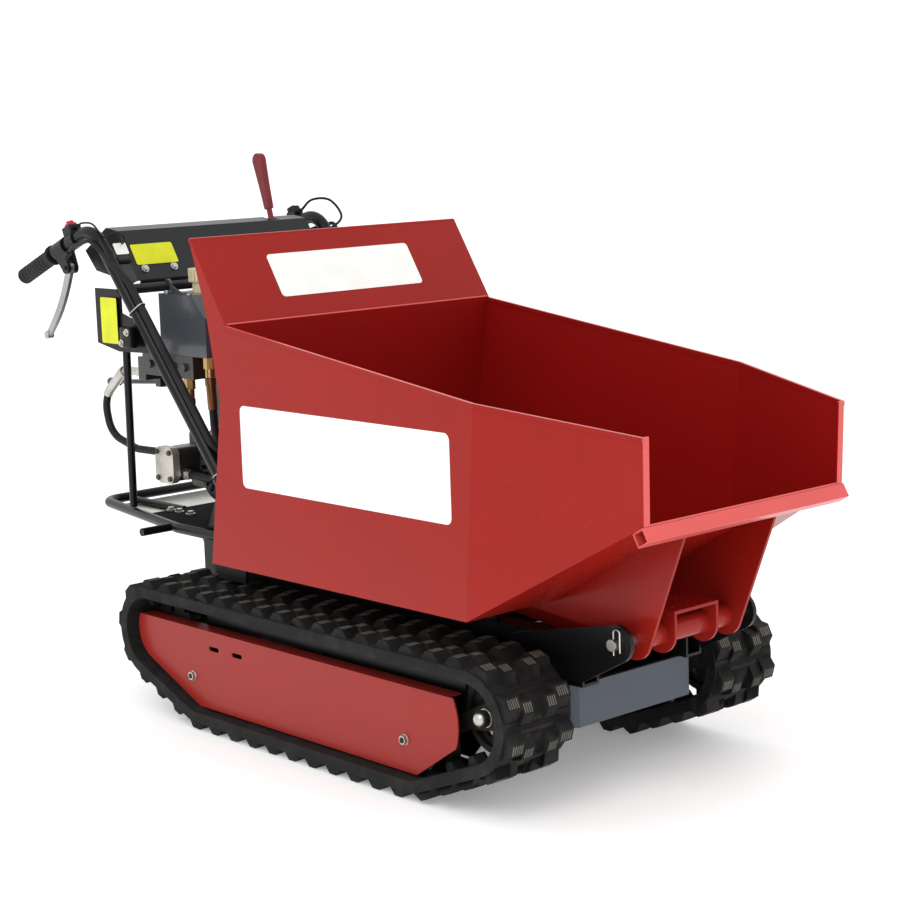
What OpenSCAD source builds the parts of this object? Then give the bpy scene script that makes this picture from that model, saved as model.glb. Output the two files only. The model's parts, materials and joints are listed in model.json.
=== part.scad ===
// Tracked power carrier with a hydraulic tipping skip, in millimetres.
// +X is forward, +Y is to the operator's left, +Z is up, and z = 0 is the ground.
// Along X the design is drawn from the fold line of the skip's rear wall.

/* [Skip] */
// Width over the side walls
skip_w = 660; // [600:5:670]
// Length of the flat floor
floor_len = 710; // [660:5:740]
// Height of the floor above the ground
floor_z = 338; // [334:1:360]
// Height from the floor to the fold of the rear wall
skip_depth = 454; // [400:2:480]
// Forward lean of the rear wall, floor to fold
rear_lean = 75; // [50:1:90]
// Height of the backboard above the fold
backboard_h = 153; // [100:1:200]
// Rearward lean of the backboard
backboard_lean = 97; // [60:1:120]
// Fall of the side walls from the fold to the front bend
side_drop = 90; // [40:1:120]
// Forward lean of the front bend
bend_lean = 30; // [10:1:50]
// Horizontal run of the loading ramp
ramp_run = 320; // [290:1:350]
// Rise of the loading ramp
ramp_rise = 185; // [160:1:200]
// Width over the front lip
lip_w = 492; // [440:2:560]
// Height of the front posts above the lip
post_h = 140; // [90:1:160]
// Forward lean of the front posts
post_lean = 3; // [0:1:12]
// Sheet thickness of the skip
sheet_t = 3; // [2:0.5:4]
// Depth of the folded hems
hem_d = 8; // [6:0.5:10]
// Stand of the side hems past the sheet, on either face
hem_proud = 1.5; // [1:0.25:2.5]
// Width of the inward flange on the front posts
post_flange = 14; // [10:1:24]
// Rearward reach of the gusset behind the backboard
gusset_w = 57; // [30:1:70]
// Height of the gusset's corner above the fold
gusset_rise = 29; // [10:1:40]
// Depth of the gusset's foot below the fold
gusset_drop = 143; // [80:1:180]
// Side of the square tube under the lip
lip_tube = 25; // [20:1:30]
// Wall of the lip tube
lip_wall = 2.5; // [1.5:0.5:4]

/* [Tipping hinge] */
// Distance from the lip back to the hinge pin
pivot_back = 147; // [135:1:160]
// Depth of the hinge pin below the floor
pivot_drop = 41; // [40:1:46]
// Diameter of the hinge pin
pin_d = 20; // [16:1:24]
// Outer radius of the hinge lobes
lobe_r = 35; // [30:1:38]
// Distance over the two outer hinge plates
hinge_span = 232; // [226:1:260]
// Thickness of the hinge plates
hinge_t = 6; // [4:0.5:8]
// Width over the yoke's ears
yoke_w = 110; // [96:1:130]
// Sheet thickness of the yoke
yoke_t = 6; // [4:0.5:8]
// Length of the yoke behind the hinge pin
yoke_len = 508; // [420:2:600]
// Outer diameter of the hinge tube
hinge_tube_d = 40; // [32:1:50]
// Thickness of the chassis hinge brackets
bracket_t = 8; // [6:0.5:10]
// Pin length past each bracket
pin_proud = 14; // [10:1:24]

/* [Tipping ram] */
// Ram foot pin, forward of the fold line
ram_foot_x = 60; // [50:1:80]
// Ram foot pin, height
ram_foot_z = 170; // [166:1:180]
// Ram head pin, behind the hinge pin
ram_pin_back = 118; // [110:1:130]
// Ram head pin, below the hinge pin
ram_pin_drop = 17; // [10:1:20]
// Diameter of both ram pins
ram_pin_d = 22; // [18:1:24]
// Outer diameter of the barrel
barrel_d = 60; // [50:1:62]
// Wall of the barrel
barrel_wall = 6; // [4:0.5:8]
// Length of the barrel from the foot pin
barrel_len = 400; // [380:2:430]
// Diameter of the piston rod
rod_d = 30; // [24:1:34]
// Bore of the rod eye, wide enough for the swing of the head pin
eye_bore_d = 50; // [50:0.5:54]
// Wall of the rod eye
eye_wall = 8; // [6:0.5:10]
// Rest offset of the rod eye behind its pin, along the ram
eye_short = 8.8; // [8:0.1:9.5]
// Rest offset of the rod eye above its pin, across the ram
eye_high = 9; // [8.5:0.1:9.5]

/* [Tracks] */
// Overall width over the tracks
track_span = 676; // [674:2:720]
// Width of one rubber belt
belt_w = 155; // [150:1:156]
// Thickness of the belt without its lugs
carcass_t = 21; // [18:0.5:23]
// Height of the tread lugs
lug_h = 15; // [12:0.5:18]
// Wanted pitch of the lugs
lug_pitch = 60; // [50:1:72]
// Length of a lug at its base, along the belt
lug_base = 52; // [40:1:54]
// Length of a lug at its top, along the belt
lug_top = 18; // [10:1:24]
// Step between the outer and inner half of a lug
lug_step = 9; // [0:1:14]
// Bare edge of the belt outside the lugs
belt_edge = 5; // [2:1:10]
// Width of the outer half of a lug
lug_outer_w = 33; // [26:1:36]
// Width of the inner half of a lug, and of the guide horn behind it
lug_inner_w = 24; // [20:1:26]
// Height of the guide horns inside the belt
horn_h = 15; // [8:0.5:18]
// Length of a guide horn at its root, along the belt
horn_base = 26; // [20:1:32]
// Length of a guide horn at its tip, along the belt
horn_tip = 12; // [8:1:16]
// Height of the sprocket and idler axles
axle_z = 167; // [164:1:174]
// Sprocket axle, forward of the fold line
sprocket_x = -301; // [-310:1:-295]
// Idler axle, forward of the fold line
idler_x = 632; // [620:1:645]
// Inner radius of the belt round the sprocket and idler
belt_r = 70; // [66:0.5:74]
// Radius of the road rollers
roller_r = 42; // [38:0.5:44]
// First and last road roller, forward of the fold line
roller_x = [-149, 480]; // [-160:1:490]
// Number of road rollers on a side
roller_n = 4; // [4:1:4]
// Width of the wheels between the guide horns
wheel_w = 26; // [20:1:27]
// Diameter of the roller pins
roller_pin_d = 20; // [16:1:24]
// Diameter of the idler axle
idler_pin_d = 24; // [20:1:28]
// Diameter of the drive shafts
drive_d = 35; // [28:1:40]
// Teeth on a sprocket
sprocket_teeth = 12; // [8:1:16]

/* [Track frames and covers] */
// Sheet thickness of the track frames
frame_t = 6; // [4:0.5:7]
// Distance between the frame plates
frame_gap = 88; // [87:0.5:90]
// Top of the track frames
frame_z = 156; // [152:1:160]
// Bottom of the track frame plates
frame_low = 56; // [54:1:66]
// Sheet thickness of the covers
cover_t = 3; // [2:0.5:4]
// Depth of the covers inside the belt's outer edge
cover_inset = 24; // [22:1:25]
// Top of the covers
cover_top = 195; // [190:1:200]
// Bottom of the covers
cover_low = 40; // [39:0.5:50]
// Width of the inward flange on the covers
cover_flange = 33; // [20:1:36]
// Diameter of the cover studs
stud_d = 10; // [8:1:12]

/* [Chassis] */
// Distance between the rails
rail_gap = 220; // [216:1:224]
// Width of a rail
rail_w = 40; // [36:1:42]
// Top of the rails
rail_top = 285; // [283:1:290]
// Depth of the rails
rail_h = 80; // [76:1:82]
// Rear end of the deck
rear_x = -480; // [-500:1:-475]
// Rear end of the rails, under the deck
rail_rear = -358; // [-362:1:-356]
// Front end of the rails
rail_front = 720; // [705:1:740]
// Depth of the cross beams
beam_h = 40; // [34:1:42]
// Width of the cross beams
beam_w = 60; // [50:1:64]
// Top of the engine deck
deck_z = 365; // [355:1:375]
// Thickness of the deck and of its webs
deck_t = 6; // [4:0.5:8]
// Front edge of the deck
deck_front = -95; // [-110:1:-90]
// Outer face of the side plates, from the middle
side_out = 240; // [238:1:242]
// Thickness of the side plates
side_t = 6; // [4:0.5:8]
// Front face of the bumper
bumper_x = 700; // [690:1:710]
// Half width of the bumper
bumper_half = 150; // [140:1:170]
// Sheet thickness of the bumper
bumper_t = 4; // [3:0.5:6]
// Height of the bumper plate
bumper_h = 75; // [60:1:75]

/* [Handlebars] */
// Diameter of the handlebar tube
bar_d = 27; // [24:0.5:30]
// Distance of the grips from the middle
bar_y = 286; // [280:1:292]
// Distance of the bars' feet from the middle
bar_foot_y = 252; // [250:1:256]
// Rear end of the grips
grip_end = [-765, 853]; // [-780:1:870]
// Bend between the grips and the stems
bar_bend = [-491, 961]; // [-500:1:970]
// Foot of the stems
bar_foot = [-95, 430]; // [-100:1:440]
// Bend radius of the bars
bar_bend_r = 60; // [45:1:70]
// Length of the grips
grip_len = 132; // [110:1:140]
// Diameter of the grips
grip_d = 34; // [31:0.5:38]
// Wall of the sockets that hold the stems
socket_wall = 4.5; // [3:0.5:6]
// Length of those sockets
socket_len = 70; // [50:1:90]

/* [Console and tank] */
// Half width of the console
console_half = 240; // [230:1:246]
// Sheet thickness of the console
console_t = 2.5; // [1.5:0.5:4]
// Diameter of the cross tube under the console
cross_d = 20; // [16:1:24]
// Bottom of the oil tank
tank_z = 703; // [700:1:710]
// Height of the oil tank
tank_h = 122; // [110:1:124]
// Front and rear of the oil tank
tank_x = [-400, -243]; // [-410:1:-240]
// Right and left side of the oil tank
tank_y = [-200, 20]; // [-205:1:25]
// Chamfer on the tank's front top edge
tank_chamfer = 44; // [20:1:60]
// Diameter of the filler neck
filler_d = 36; // [28:1:44]
// Height of the filler with its cap
filler_h = 48; // [36:1:60]

/* [Engine bay] */
// Crankshaft axis, forward of the fold line and above the ground
crank = [-300, 470]; // [-305:1:475]
// Radius of the recoil starter
recoil_r = 92; // [80:1:100]
// Depth of the recoil starter
recoil_h = 45; // [36:1:52]
// Number of cooling fins on the cylinder
fin_n = 8; // [6:1:10]
// Radius of the muffler
muffler_r = 42; // [36:1:44]
// Radius of the air cleaner
air_r = 45; // [38:1:48]
// Radius of the gearbox drum
gearbox_r = 75; // [68:1:78]
// Input shaft of the gearbox
gearbox_in = [-205, 172]; // [-210:1:176]
// Thickness of the drive belt guard
guard_t = 26; // [22:1:28]

/* [Hydraulics] */
// Pump shaft axis, forward of the fold line and above the ground
pump = [-427, 471]; // [-430:1:475]
// Width and height of the pump body
pump_size = [58, 70]; // [50:1:74]
// Outer end of the pump
pump_y = -190; // [-194:1:-186]
// Diameter of the hydraulic hoses
hose_d = 16; // [13:0.5:17]
// Bend radius of the hydraulic hoses
hose_bend = 54; // [40:1:56]
// Depth of the control valve body
valve_h = 46; // [40:1:50]

/* [Rear guard] */
// Diameter of the guard loop tube
loop_d = 20; // [18:0.5:22]
// Rear end of the guard loop
loop_x = -685; // [-700:1:-670]
// Half width of the loop at its rear
loop_half = 175; // [165:1:180]
// Diameter of the leaning guard rod
post_d = 16; // [14:0.5:18]
// Length of the peg on the loop's right side
peg_len = 62; // [40:1:70]

/* [Controls] */
// Thickness of the steering levers
lever_t = 8; // [6:0.5:9]
// Diameter of the steering lever pins
lever_pin_d = 8; // [6:0.5:9]
// Free angle of the steering levers below the bars
lever_a = 34; // [32:0.5:36]
// Length of the steering levers
lever_len = 173; // [160:1:178]
// Diameter of the control cables
cable_d = 8; // [6:0.5:8]
// Side of the stop button
button_w = 18; // [14:0.5:20]
// Height of the gear lever's top
gear_z = 1091; // [1060:1:1100]
// Length of the tip lever
tip_len = 205; // [180:1:210]

/* [Clearances] */
// Running clearance of a shaft in its bore
run_gap = 0.05; // [0.02:0.01:0.1]
// Clearance round fixed pieces that fit together
fit_gap = 0.2; // [0.1:0.05:0.4]
// Clearance between the road rollers and the belt
roll_gap = 0.5; // [0.3:0.1:0.9]
// Side clearance of moving pieces
side_gap = 1.5; // [1:0.1:2]
// Gap where a fixed piece butts against a bent tube
butt_gap = 0.4; // [0.2:0.1:0.8]

/* [Hidden] */
$fn = 64;
// Distance from the fold line to the middle of the machine
origin_x = 98.13;

// Skip outline
half_w = skip_w / 2;
fold_z = floor_z + skip_depth;
back_x = -rear_lean;
bend_x = back_x + floor_len;
side_z = fold_z - side_drop;
lip_x = bend_x + ramp_run;
lip_z = floor_z + ramp_rise;
ramp_a = atan2(ramp_rise, ramp_run);
post_x = lip_x + post_lean;
post_z = lip_z + post_h;
function bend_at(z) = bend_x + bend_lean * (z - floor_z) / (side_z - floor_z);
front_slope = (half_w - lip_w / 2) / (lip_x - bend_at(lip_z));
function front_half(x, z) = half_w - front_slope * (x - bend_at(z));
function fold_end(s) = [0, s * half_w, fold_z];
function bend_low(s) = [bend_x, s * half_w, floor_z];
function bend_top(s) = [bend_x + bend_lean, s * half_w, side_z];
function lip_end(s) = [lip_x, s * lip_w / 2, lip_z];
function post_top(s) = [post_x, s * front_half(post_x, post_z), post_z];

// Hinge and ram
pivot = [lip_x - pivot_back, floor_z - pivot_drop];
hinge_in = hinge_span / 2 - hinge_t;
bracket_in = rail_gap / 2 + rail_w;
bracket_out = bracket_in + bracket_t;
ram_foot = [ram_foot_x, ram_foot_z];
ram_head = pivot - [ram_pin_back, ram_pin_drop];
ram_dir = (ram_head - ram_foot) / norm(ram_head - ram_foot);
ram_up = [-ram_dir.y, ram_dir.x];
eye_mid = ram_head - eye_short * ram_dir + eye_high * ram_up;
eye_r = eye_bore_d / 2 + eye_wall;
eye_half = yoke_w / 2 - yoke_t - 9;
rod_axis = (eye_mid - ram_foot) / norm(eye_mid - ram_foot);
rod_a = atan2(rod_axis.y, rod_axis.x);
rod_reach = norm(eye_mid - ram_foot);
foot_r = ram_pin_d / 2 + 11;
foot_half = 20;
piston_at = 70;
piston_len = 36;
gland_len = 40;

// Tracks
belt_out = track_span / 2;
belt_mid = belt_out - belt_w / 2;
roller_z = lug_h + carcass_t + roll_gap + roller_r;
wheel_r = belt_r - 1.5;
wheel_half = wheel_w / 2;
// Wheels inside the belt in running order: x, z, inner radius of the belt
belt_wheels = [[roller_x[1], roller_z, roller_r + roll_gap], [idler_x, axle_z, belt_r],
  [sprocket_x, axle_z, belt_r], [roller_x[0], roller_z, roller_r + roll_gap]];
function wheel(i) = belt_wheels[(i + 4) % 4];
function step_x(i) = wheel(i + 1).x - wheel(i).x;
function step_z(i) = wheel(i + 1).y - wheel(i).y;
function span(i) = norm([step_x(i), step_z(i)]);
// Direction of the belt's outward normal on the straight after wheel i
leave = [for (i = [0 : 3]) atan2(step_z(i), step_x(i)) - acos((wheel(i).z - wheel(i + 1).z) / span(i))];
function arrive(i) = leave[(i + 3) % 4];
function wrap(i) = (leave[i] - arrive(i) + 720) % 360;
mid_t = carcass_t / 2;
arc_len = [for (i = [0 : 3]) (wheel(i).z + mid_t) * wrap(i) * PI / 180];
run_len = [for (i = [0 : 3]) sqrt(span(i) ^ 2 - (wheel(i).z - wheel(i + 1).z) ^ 2)];
belt_len = arc_len * [1, 1, 1, 1] + run_len * [1, 1, 1, 1];
lug_n = round(belt_len / lug_pitch);
lug_len = belt_len / lug_n;
// Place of the first lug in its pitch, with no lug corner on the end of an arc
lug_phase = 0.47;
function arc_steps(i) = ceil(wrap(i) / 6);
// Depth of the teeth's roots in the belt
sink = 3;
function belt_find(s, i = 0) = i < 3 && s > arc_len[i] + run_len[i]
  ? belt_find(s - arc_len[i] - run_len[i], i + 1) : [i, s];
// Point at length s along the middle of the belt, off by h from its inner face
function belt_pt(s, h) = let(
    m = belt_find((s + belt_len) % belt_len),
    w = wheel(m[0]),
    past = m[1] - arc_len[m[0]],
    a = past < 0 ? leave[m[0]] + past / (w.z + mid_t) * 180 / PI : leave[m[0]])
  [w.x, w.y] + (w.z + h) * [cos(a), sin(a)] + max(past, 0) * [-sin(a), cos(a)];
function roller_at(i) = [roller_x[0] + (roller_x[1] - roller_x[0]) * i / (roller_n - 1), roller_z];
frame_in = belt_mid - frame_gap / 2;
frame_out = belt_mid + frame_gap / 2;
frame_x = [-200, 540];
cover_y = belt_out - cover_inset;
cover_front = idler_x - 44;
stud_at = [[-180, 98], [450, 98]];
sprocket = [sprocket_x, axle_z];
idler = [idler_x, axle_z];
fork_in = wheel_half + side_gap;

// Chassis
rail_in = rail_gap / 2;
rail_low = rail_top - rail_h;
beam_low = rail_low - beam_h;
beam_x = [-30, 460, bumper_x - bumper_t - beam_w / 2];
deck_low = deck_z - deck_t;
side_in = side_out - side_t;
bumper_z = beam_low - 36;

// Handlebars
grip_dir = (bar_bend - grip_end) / norm(bar_bend - grip_end);
bar_tilt = atan2(grip_dir.y, grip_dir.x);
bar_r = bar_d / 2;
function bar_pt(p, y) = [p.x, y, p.y];
stem_top = bar_pt(bar_bend, bar_y);
stem_foot = bar_pt(bar_foot, bar_foot_y);
stem_dir = unit(stem_foot - stem_top);
// Point on the stem at a given height
function stem_at(z) = stem_top + (stem_foot - stem_top) * (stem_top.z - z) / (stem_top.z - stem_foot.z);
grip_cap = 5;
lever_root = [176, -44];
stop_at = 218;
base_h = 30;
console_profile = [[-410, 853], [-473, 950], [-516, 956], [-598, 908]];
cross_z = 838;
cross_at = stem_at(cross_z);
brace_at = stem_at(893);

// Engine bay
engine_y = [-55, 95];
shroud_y = -105;
guard_y = bracket_in + 4;
cyl_x = [-360, -240];
head_z = 640;
block_top = crank.y + 65;
gear_pivot = [-478, 880];
gear_y = 165;
// Inner face and size of the pump's mounting plate
plate_in = -89;
pump_plate = [88, 120];
valve_x = [-470, -292];
valve_y = [-200, -150];
valve_low = tank_z - valve_h;
tip_pivot = [-488, tank_z - 70];
bonnet_x = tip_pivot.x - 9;
tip_y = -138;
loop_y = side_out + loop_d / 2 + fit_gap;
loop_z = deck_z;
// Shoulder of the loop, and its half width at x
loop_front = -300;
function loop_side(x) = loop_y + (loop_half - loop_y) * (loop_front - x) / (loop_front - loop_x);
rod_low_x = -523;
rod_top = [-432, -261.7, 728];
// Rear edge of the stem at a height z
function stem_rear(z) = [stem_at(z).x - (bar_r + butt_gap) / sin(atan2(-stem_dir.z, stem_dir.x)), z];

// Hose and cable routes
pressure_hose = [[-522, -178, 656], [-575, -178, 656], [-656, -178, 590], [-640, -176, 515],
  [-560, -166, 489], [-479, -159, 489]];
suction_hose = [[-257, -185, 662], [-250, -185, 560], [-228, -180, 470], [-300, -167, 452],
  [-375, -159, 452]];
work_hose = [[-329, -185, 616], [-326, -186, 572], [-275, -200, 522], [-203, -207, 452], [-190, -207, 418],
  [-190, -207, 384]];
clutch_cable = [[-565.6, 298.4, 911], [-535, 308, 922], [-465, 312, 937], [-383, 279, 852],
  [-160, 260, 552], [-140, 226, 510], [-150, 205, 440], [-150, 205, 365.2]];
stop_wire = [[-547.5, -286, 962.5], [-505, -286, 979], [-470, -268, 960], [-470, -262, 925],
  [-470, -240.3, 925]];
throttle_cable = [[-547.5, 286, 962.5], [-505, 286, 979], [-460, 268, 960], [-470, 262, 925],
  [-470, 240.3, 925]];

function unit(v) = v / norm(v);
function segment_n(p, i) = let(d = unit(p[i + 1] - p[i])) [-d.y, d.x];
function mitre(p, i) = i == 0 ? segment_n(p, 0) : i == len(p) - 1 ? segment_n(p, i - 1)
  : (segment_n(p, i - 1) + segment_n(p, i)) / (1 + segment_n(p, i - 1) * segment_n(p, i));
// Outline of a sheet folded along the points p, with its thickness to their left
function folded(p, t) = concat(p, [for (i = [len(p) - 1 : -1 : 0]) p[i] + t * mitre(p, i)]);
// Touching point on a circle of the line that runs to p, on the side given by s
function tangent(c, r, p, s) = let(v = p - c, a = atan2(v.y, v.x) + s * acos(r / norm(v)))
  c + r * [cos(a), sin(a)];
function turn(p, i) = acos(unit(p[i] - p[i - 1]) * unit(p[i + 1] - p[i]));
function corner_len(p, i, r) = i == 0 || i == len(p) - 1 ? 0 : r * tan(turn(p, i) / 2);

module home() { translate([-origin_x, 0, 0]) children(); }
module pair() {
  children();
  mirror([0, 1, 0]) children();
}
module pair_2d() {
  children();
  mirror([0, 1]) children();
}
module block(a, b) { translate(a) cube(b - a); }
// A flat shape drawn in x and z, t thick from y
module flat_y(y, t) { translate([0, y + t, 0]) rotate([90, 0, 0]) linear_extrude(t) children(); }
module flat_z(z, t) { translate([0, 0, z]) linear_extrude(t) children(); }
module round_y(at, y0, y1, r) {
  translate([at.x, y0, at.y]) rotate([-90, 0, 0]) cylinder(r = r, h = y1 - y0);
}
module rod(p, q, r) {
  v = q - p;
  translate(p) rotate([0, acos(v.z / norm(v)), atan2(v.y, v.x)]) cylinder(r = r, h = norm(v));
}
module soft_square(size, r) {
  translate([r, 0]) square([size.x - 2 * r, size.y]);
  translate([0, r]) square([size.x, size.y - 2 * r]);
  for (x = [r, size.x - r], y = [r, size.y - r]) translate([x, y]) circle(r = r);
}
// Flat panel on four corners, t thick towards the side from which they run anticlockwise
module panel(a, b, c, d, t) {
  n = t * unit(cross(b - a, d - a));
  polyhedron([a, b, c, d, a + n, b + n, c + n, d + n],
    [[0, 1, 2, 3], [7, 6, 5, 4], [4, 5, 1, 0], [5, 6, 2, 1], [6, 7, 3, 2], [7, 4, 0, 3]]);
}
// Points p with each inner corner rounded to the radius r in n steps
function rounded(p, r, n) = [for (i = [0 : len(p) - 1]) each i == 0 || i == len(p) - 1 ? [p[i]] : let(
    a = unit(p[i] - p[i - 1]),
    b = unit(p[i + 1] - p[i]),
    m = unit(b - a * (a * b)),
    c = p[i] - a * corner_len(p, i, r) + m * r)
  [for (k = [0 : n]) c + r * (sin(turn(p, i) * k / n) * a - cos(turn(p, i) * k / n) * m)]];
function heading(p, i) = unit(p[min(i + 1, len(p) - 1)] - p[max(i - 1, 0)]);
function square_to(v, d) = unit(v - d * (v * d));
// Normals carried along the points p, without twist
function carried(p, i, n) = i == len(p) ? []
  : let(m = square_to(n, heading(p, i))) concat([m], carried(p, i + 1, m));
// Round tube swept along the points p
module tube(p, r, sides) {
  n = carried(p, 0, abs(heading(p, 0).y) < 0.9 ? [0, 1, 0] : [1, 0, 0]);
  rings = [for (i = [0 : len(p) - 1], j = [0 : sides - 1]) let(a = (j + 0.5) * 360 / sides)
    p[i] + r * (cos(a) * n[i] + sin(a) * cross(heading(p, i), n[i]))];
  polyhedron(rings, concat(
    [[for (j = [0 : sides - 1]) j], [for (j = [sides - 1 : -1 : 0]) (len(p) - 1) * sides + j]],
    [for (i = [0 : len(p) - 2], j = [0 : sides - 1]) let(k = i * sides, a = k + j, b = k + (j + 1) % sides)
      each [[a, a + sides, b + sides], [a, b + sides, b]]]));
}
// Round bar bent through the points p
module bent_bar(p, r, bend, sides, steps) { tube(rounded(p, bend, steps), r, sides); }

// Skip
module skip_side() {
  flat_y(-half_w, sheet_t) polygon([[back_x, floor_z], [bend_x, floor_z], [bend_x + bend_lean, side_z],
    [0, fold_z], [-backboard_lean, fold_z + backboard_h], [-gusset_w, fold_z + gusset_rise],
    [-rear_lean * gusset_drop / skip_depth, fold_z - gusset_drop]]);
  panel(bend_low(-1), bend_top(-1), post_top(-1), lip_end(-1), sheet_t);
  inward = [0, post_flange, 0];
  panel(lip_end(-1), post_top(-1), post_top(-1) + inward, lip_end(-1) + inward, sheet_t);
  hem(fold_end(-1), bend_top(-1));
  hem(bend_top(-1), post_top(-1));
}
// Folded hem along the top edge of a side, from a to b
module hem(a, b) {
  out = [0, -hem_proud, 0];
  down = [0, 0, -hem_d];
  panel(a + out + down, a + out, b + out, b + out + down, 2 * hem_proud + sheet_t);
}
module skip_shell() {
  color("firebrick") home() union() {
    pair() skip_side();
    flat_y(-half_w, skip_w) polygon(folded([[bend_x, floor_z], [back_x, floor_z], [0, fold_z],
      [-backboard_lean, fold_z + backboard_h]], -sheet_t));
    panel(bend_low(-1), lip_end(-1), lip_end(1), bend_low(1), sheet_t);
    board_hem();
  }
}
// Rolled hem on the backboard's top edge, ending inside the gussets
module board_hem() {
  end = half_w - 1;
  round_y([-backboard_lean, fold_z + backboard_h], -end, end, hem_d / 2);
}
module skip_lip() {
  length = lip_w + 8;
  color("indianred") home() flat_y(-length / 2, length)
    translate([lip_x, lip_z]) rotate(ramp_a) translate([-lip_tube, -lip_tube]) difference() {
      square(lip_tube);
      translate([lip_wall, lip_wall]) square(lip_tube - 2 * lip_wall);
    }
}
module hinge_plates() {
  tip = [lip_x, lip_z] - (lip_tube + 3) * [cos(ramp_a), sin(ramp_a)];
  tail = bend_x - 75;
  color("firebrick") home() pair() flat_y(hinge_in, hinge_t) difference() {
    union() {
      translate(pivot) circle(r = lobe_r);
      polygon([tangent(pivot, lobe_r, tip, -1), tip, [bend_x, floor_z], [tail, floor_z], [tail, floor_z - 22],
        pivot - [lobe_r, 0], pivot]);
    }
    translate(pivot) circle(r = pin_d / 2 + fit_gap);
  }
}
module hinge_yoke() {
  x0 = pivot.x - yoke_len;
  x1 = pivot.x + lobe_r;
  foot = ram_head - [0, ram_pin_d / 2 + 15];
  color("firebrick") home() difference() {
    union() {
      block([x0, -yoke_w / 2, floor_z - yoke_t], [x1, yoke_w / 2, floor_z]);
      pair() flat_y(yoke_w / 2 - yoke_t, yoke_t) {
        polygon([[x0, floor_z - 40], [foot.x - 26, foot.y], [foot.x + 26, foot.y], pivot - [lobe_r, 0],
          pivot, [x1, pivot.y], [x1, floor_z], [x0, floor_z]]);
        translate(pivot) circle(r = lobe_r);
      }
      round_y(pivot, -hinge_in, hinge_in, hinge_tube_d / 2);
      round_y(ram_head, -yoke_w / 2 - 5, yoke_w / 2 + 5, ram_pin_d / 2);
    }
    round_y(pivot, -hinge_in - 1, hinge_in + 1, pin_d / 2 + run_gap);
  }
}
module hinge_pin() {
  end = bracket_out + pin_proud;
  hole = bracket_out + pin_proud / 2;
  clip_r = 1.6;
  color("silver") home() {
    difference() {
      round_y(pivot, -end, end, pin_d / 2);
      for (y = [-hole, hole]) translate([pivot.x, y, pivot.y - pin_d])
        cylinder(r = clip_r + fit_gap, h = 2 * pin_d);
    }
    for (y = [-hole, hole]) translate([pivot.x, y, pivot.y])
      bent_bar([[0, 0, -18], [0, 0, 26], [14, 0, 26], [14, 0, -12]], clip_r, 6, 8, 4);
  }
}

// Ram, drawn along +X from its foot pin
module ram_place() { home() translate([ram_foot.x, 0, ram_foot.y]) rotate([0, -rod_a, 0]) children(); }
module along_x(x0, x1, r) { translate([x0, 0, 0]) rotate([0, 90, 0]) cylinder(r = r, h = x1 - x0); }
module ram_barrel() {
  bore = barrel_d / 2 - barrel_wall;
  color("dimgray") ram_place() difference() {
    union() {
      along_x(foot_r + 2, barrel_len, barrel_d / 2);
      block([0, -foot_half, 4 - foot_r], [foot_r + 4, foot_half, foot_r - 4]);
      along_x(barrel_len - gland_len, barrel_len, barrel_d / 2 + 3);
      round_y([0, 0], -foot_half, foot_half, foot_r);
      translate([foot_r + 30, 0, barrel_d / 2 - 3]) cylinder(r = 12, h = 15);
    }
    round_y([0, 0], -foot_half - 1, foot_half + 1, ram_pin_d / 2 + run_gap);
    along_x(foot_r + 16, barrel_len - gland_len, bore);
    along_x(foot_r + 16, barrel_len + 1, rod_d / 2 + run_gap);
  }
}
module ram_rod() {
  bore = barrel_d / 2 - barrel_wall;
  color("silver") ram_place() difference() {
    union() {
      along_x(piston_at, rod_reach, rod_d / 2);
      along_x(piston_at, piston_at + piston_len, bore - run_gap);
      round_y([rod_reach, 0], -eye_half, eye_half, eye_r);
    }
    round_y([rod_reach, 0], -eye_half - 1, eye_half + 1, eye_bore_d / 2);
  }
}

// Chassis
module rail_pair() {
  pair() block([rail_rear, rail_in, rail_low], [rail_front, rail_in + rail_w, rail_top]);
}
module hinge_bracket() {
  rear = pivot.x - 250;
  flat_y(bracket_in, bracket_t) difference() {
    union() {
      translate(pivot) circle(r = 32);
      polygon([pivot + [0, 32], [rear, rail_top - 10], [rear, rail_low + 4], [pivot.x - 86, rail_low + 10],
        tangent(pivot, 32, [pivot.x - 86, rail_low + 10], 1), pivot]);
    }
    translate(pivot) circle(r = pin_d / 2 + run_gap);
  }
}
module ram_clevis() {
  web = 10;
  x0 = beam_x[0] + beam_w / 2;
  pair() flat_y(foot_half + side_gap, web) {
    translate(ram_foot) circle(r = foot_r);
    polygon([[x0, beam_low], [x0, rail_low], ram_foot + [0, foot_r], ram_foot - [0, foot_r]]);
  }
  round_y(ram_foot, -foot_half - side_gap - web, foot_half + side_gap + web, ram_pin_d / 2);
}
module deck() {
  web_in = rail_in + rail_w - deck_t;
  difference() {
    flat_z(deck_low, deck_t) pair_2d() polygon([[rear_x, 0], [rear_x, loop_side(rear_x) - loop_d / 2 - 1],
      [loop_front - 20, side_in], [deck_front, side_in], [deck_front, 0]]);
    translate([crank.x - 70, guard_y - 2, deck_low - 1]) cube([200, guard_t + 4, deck_t + 2]);
  }
  pair() block([rail_rear, web_in, rail_top], [deck_front, web_in + deck_t, deck_low]);
  for (x = [rail_rear, deck_front - deck_t]) block([x, -web_in, rail_top], [x + deck_t, web_in, deck_low]);
}
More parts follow.
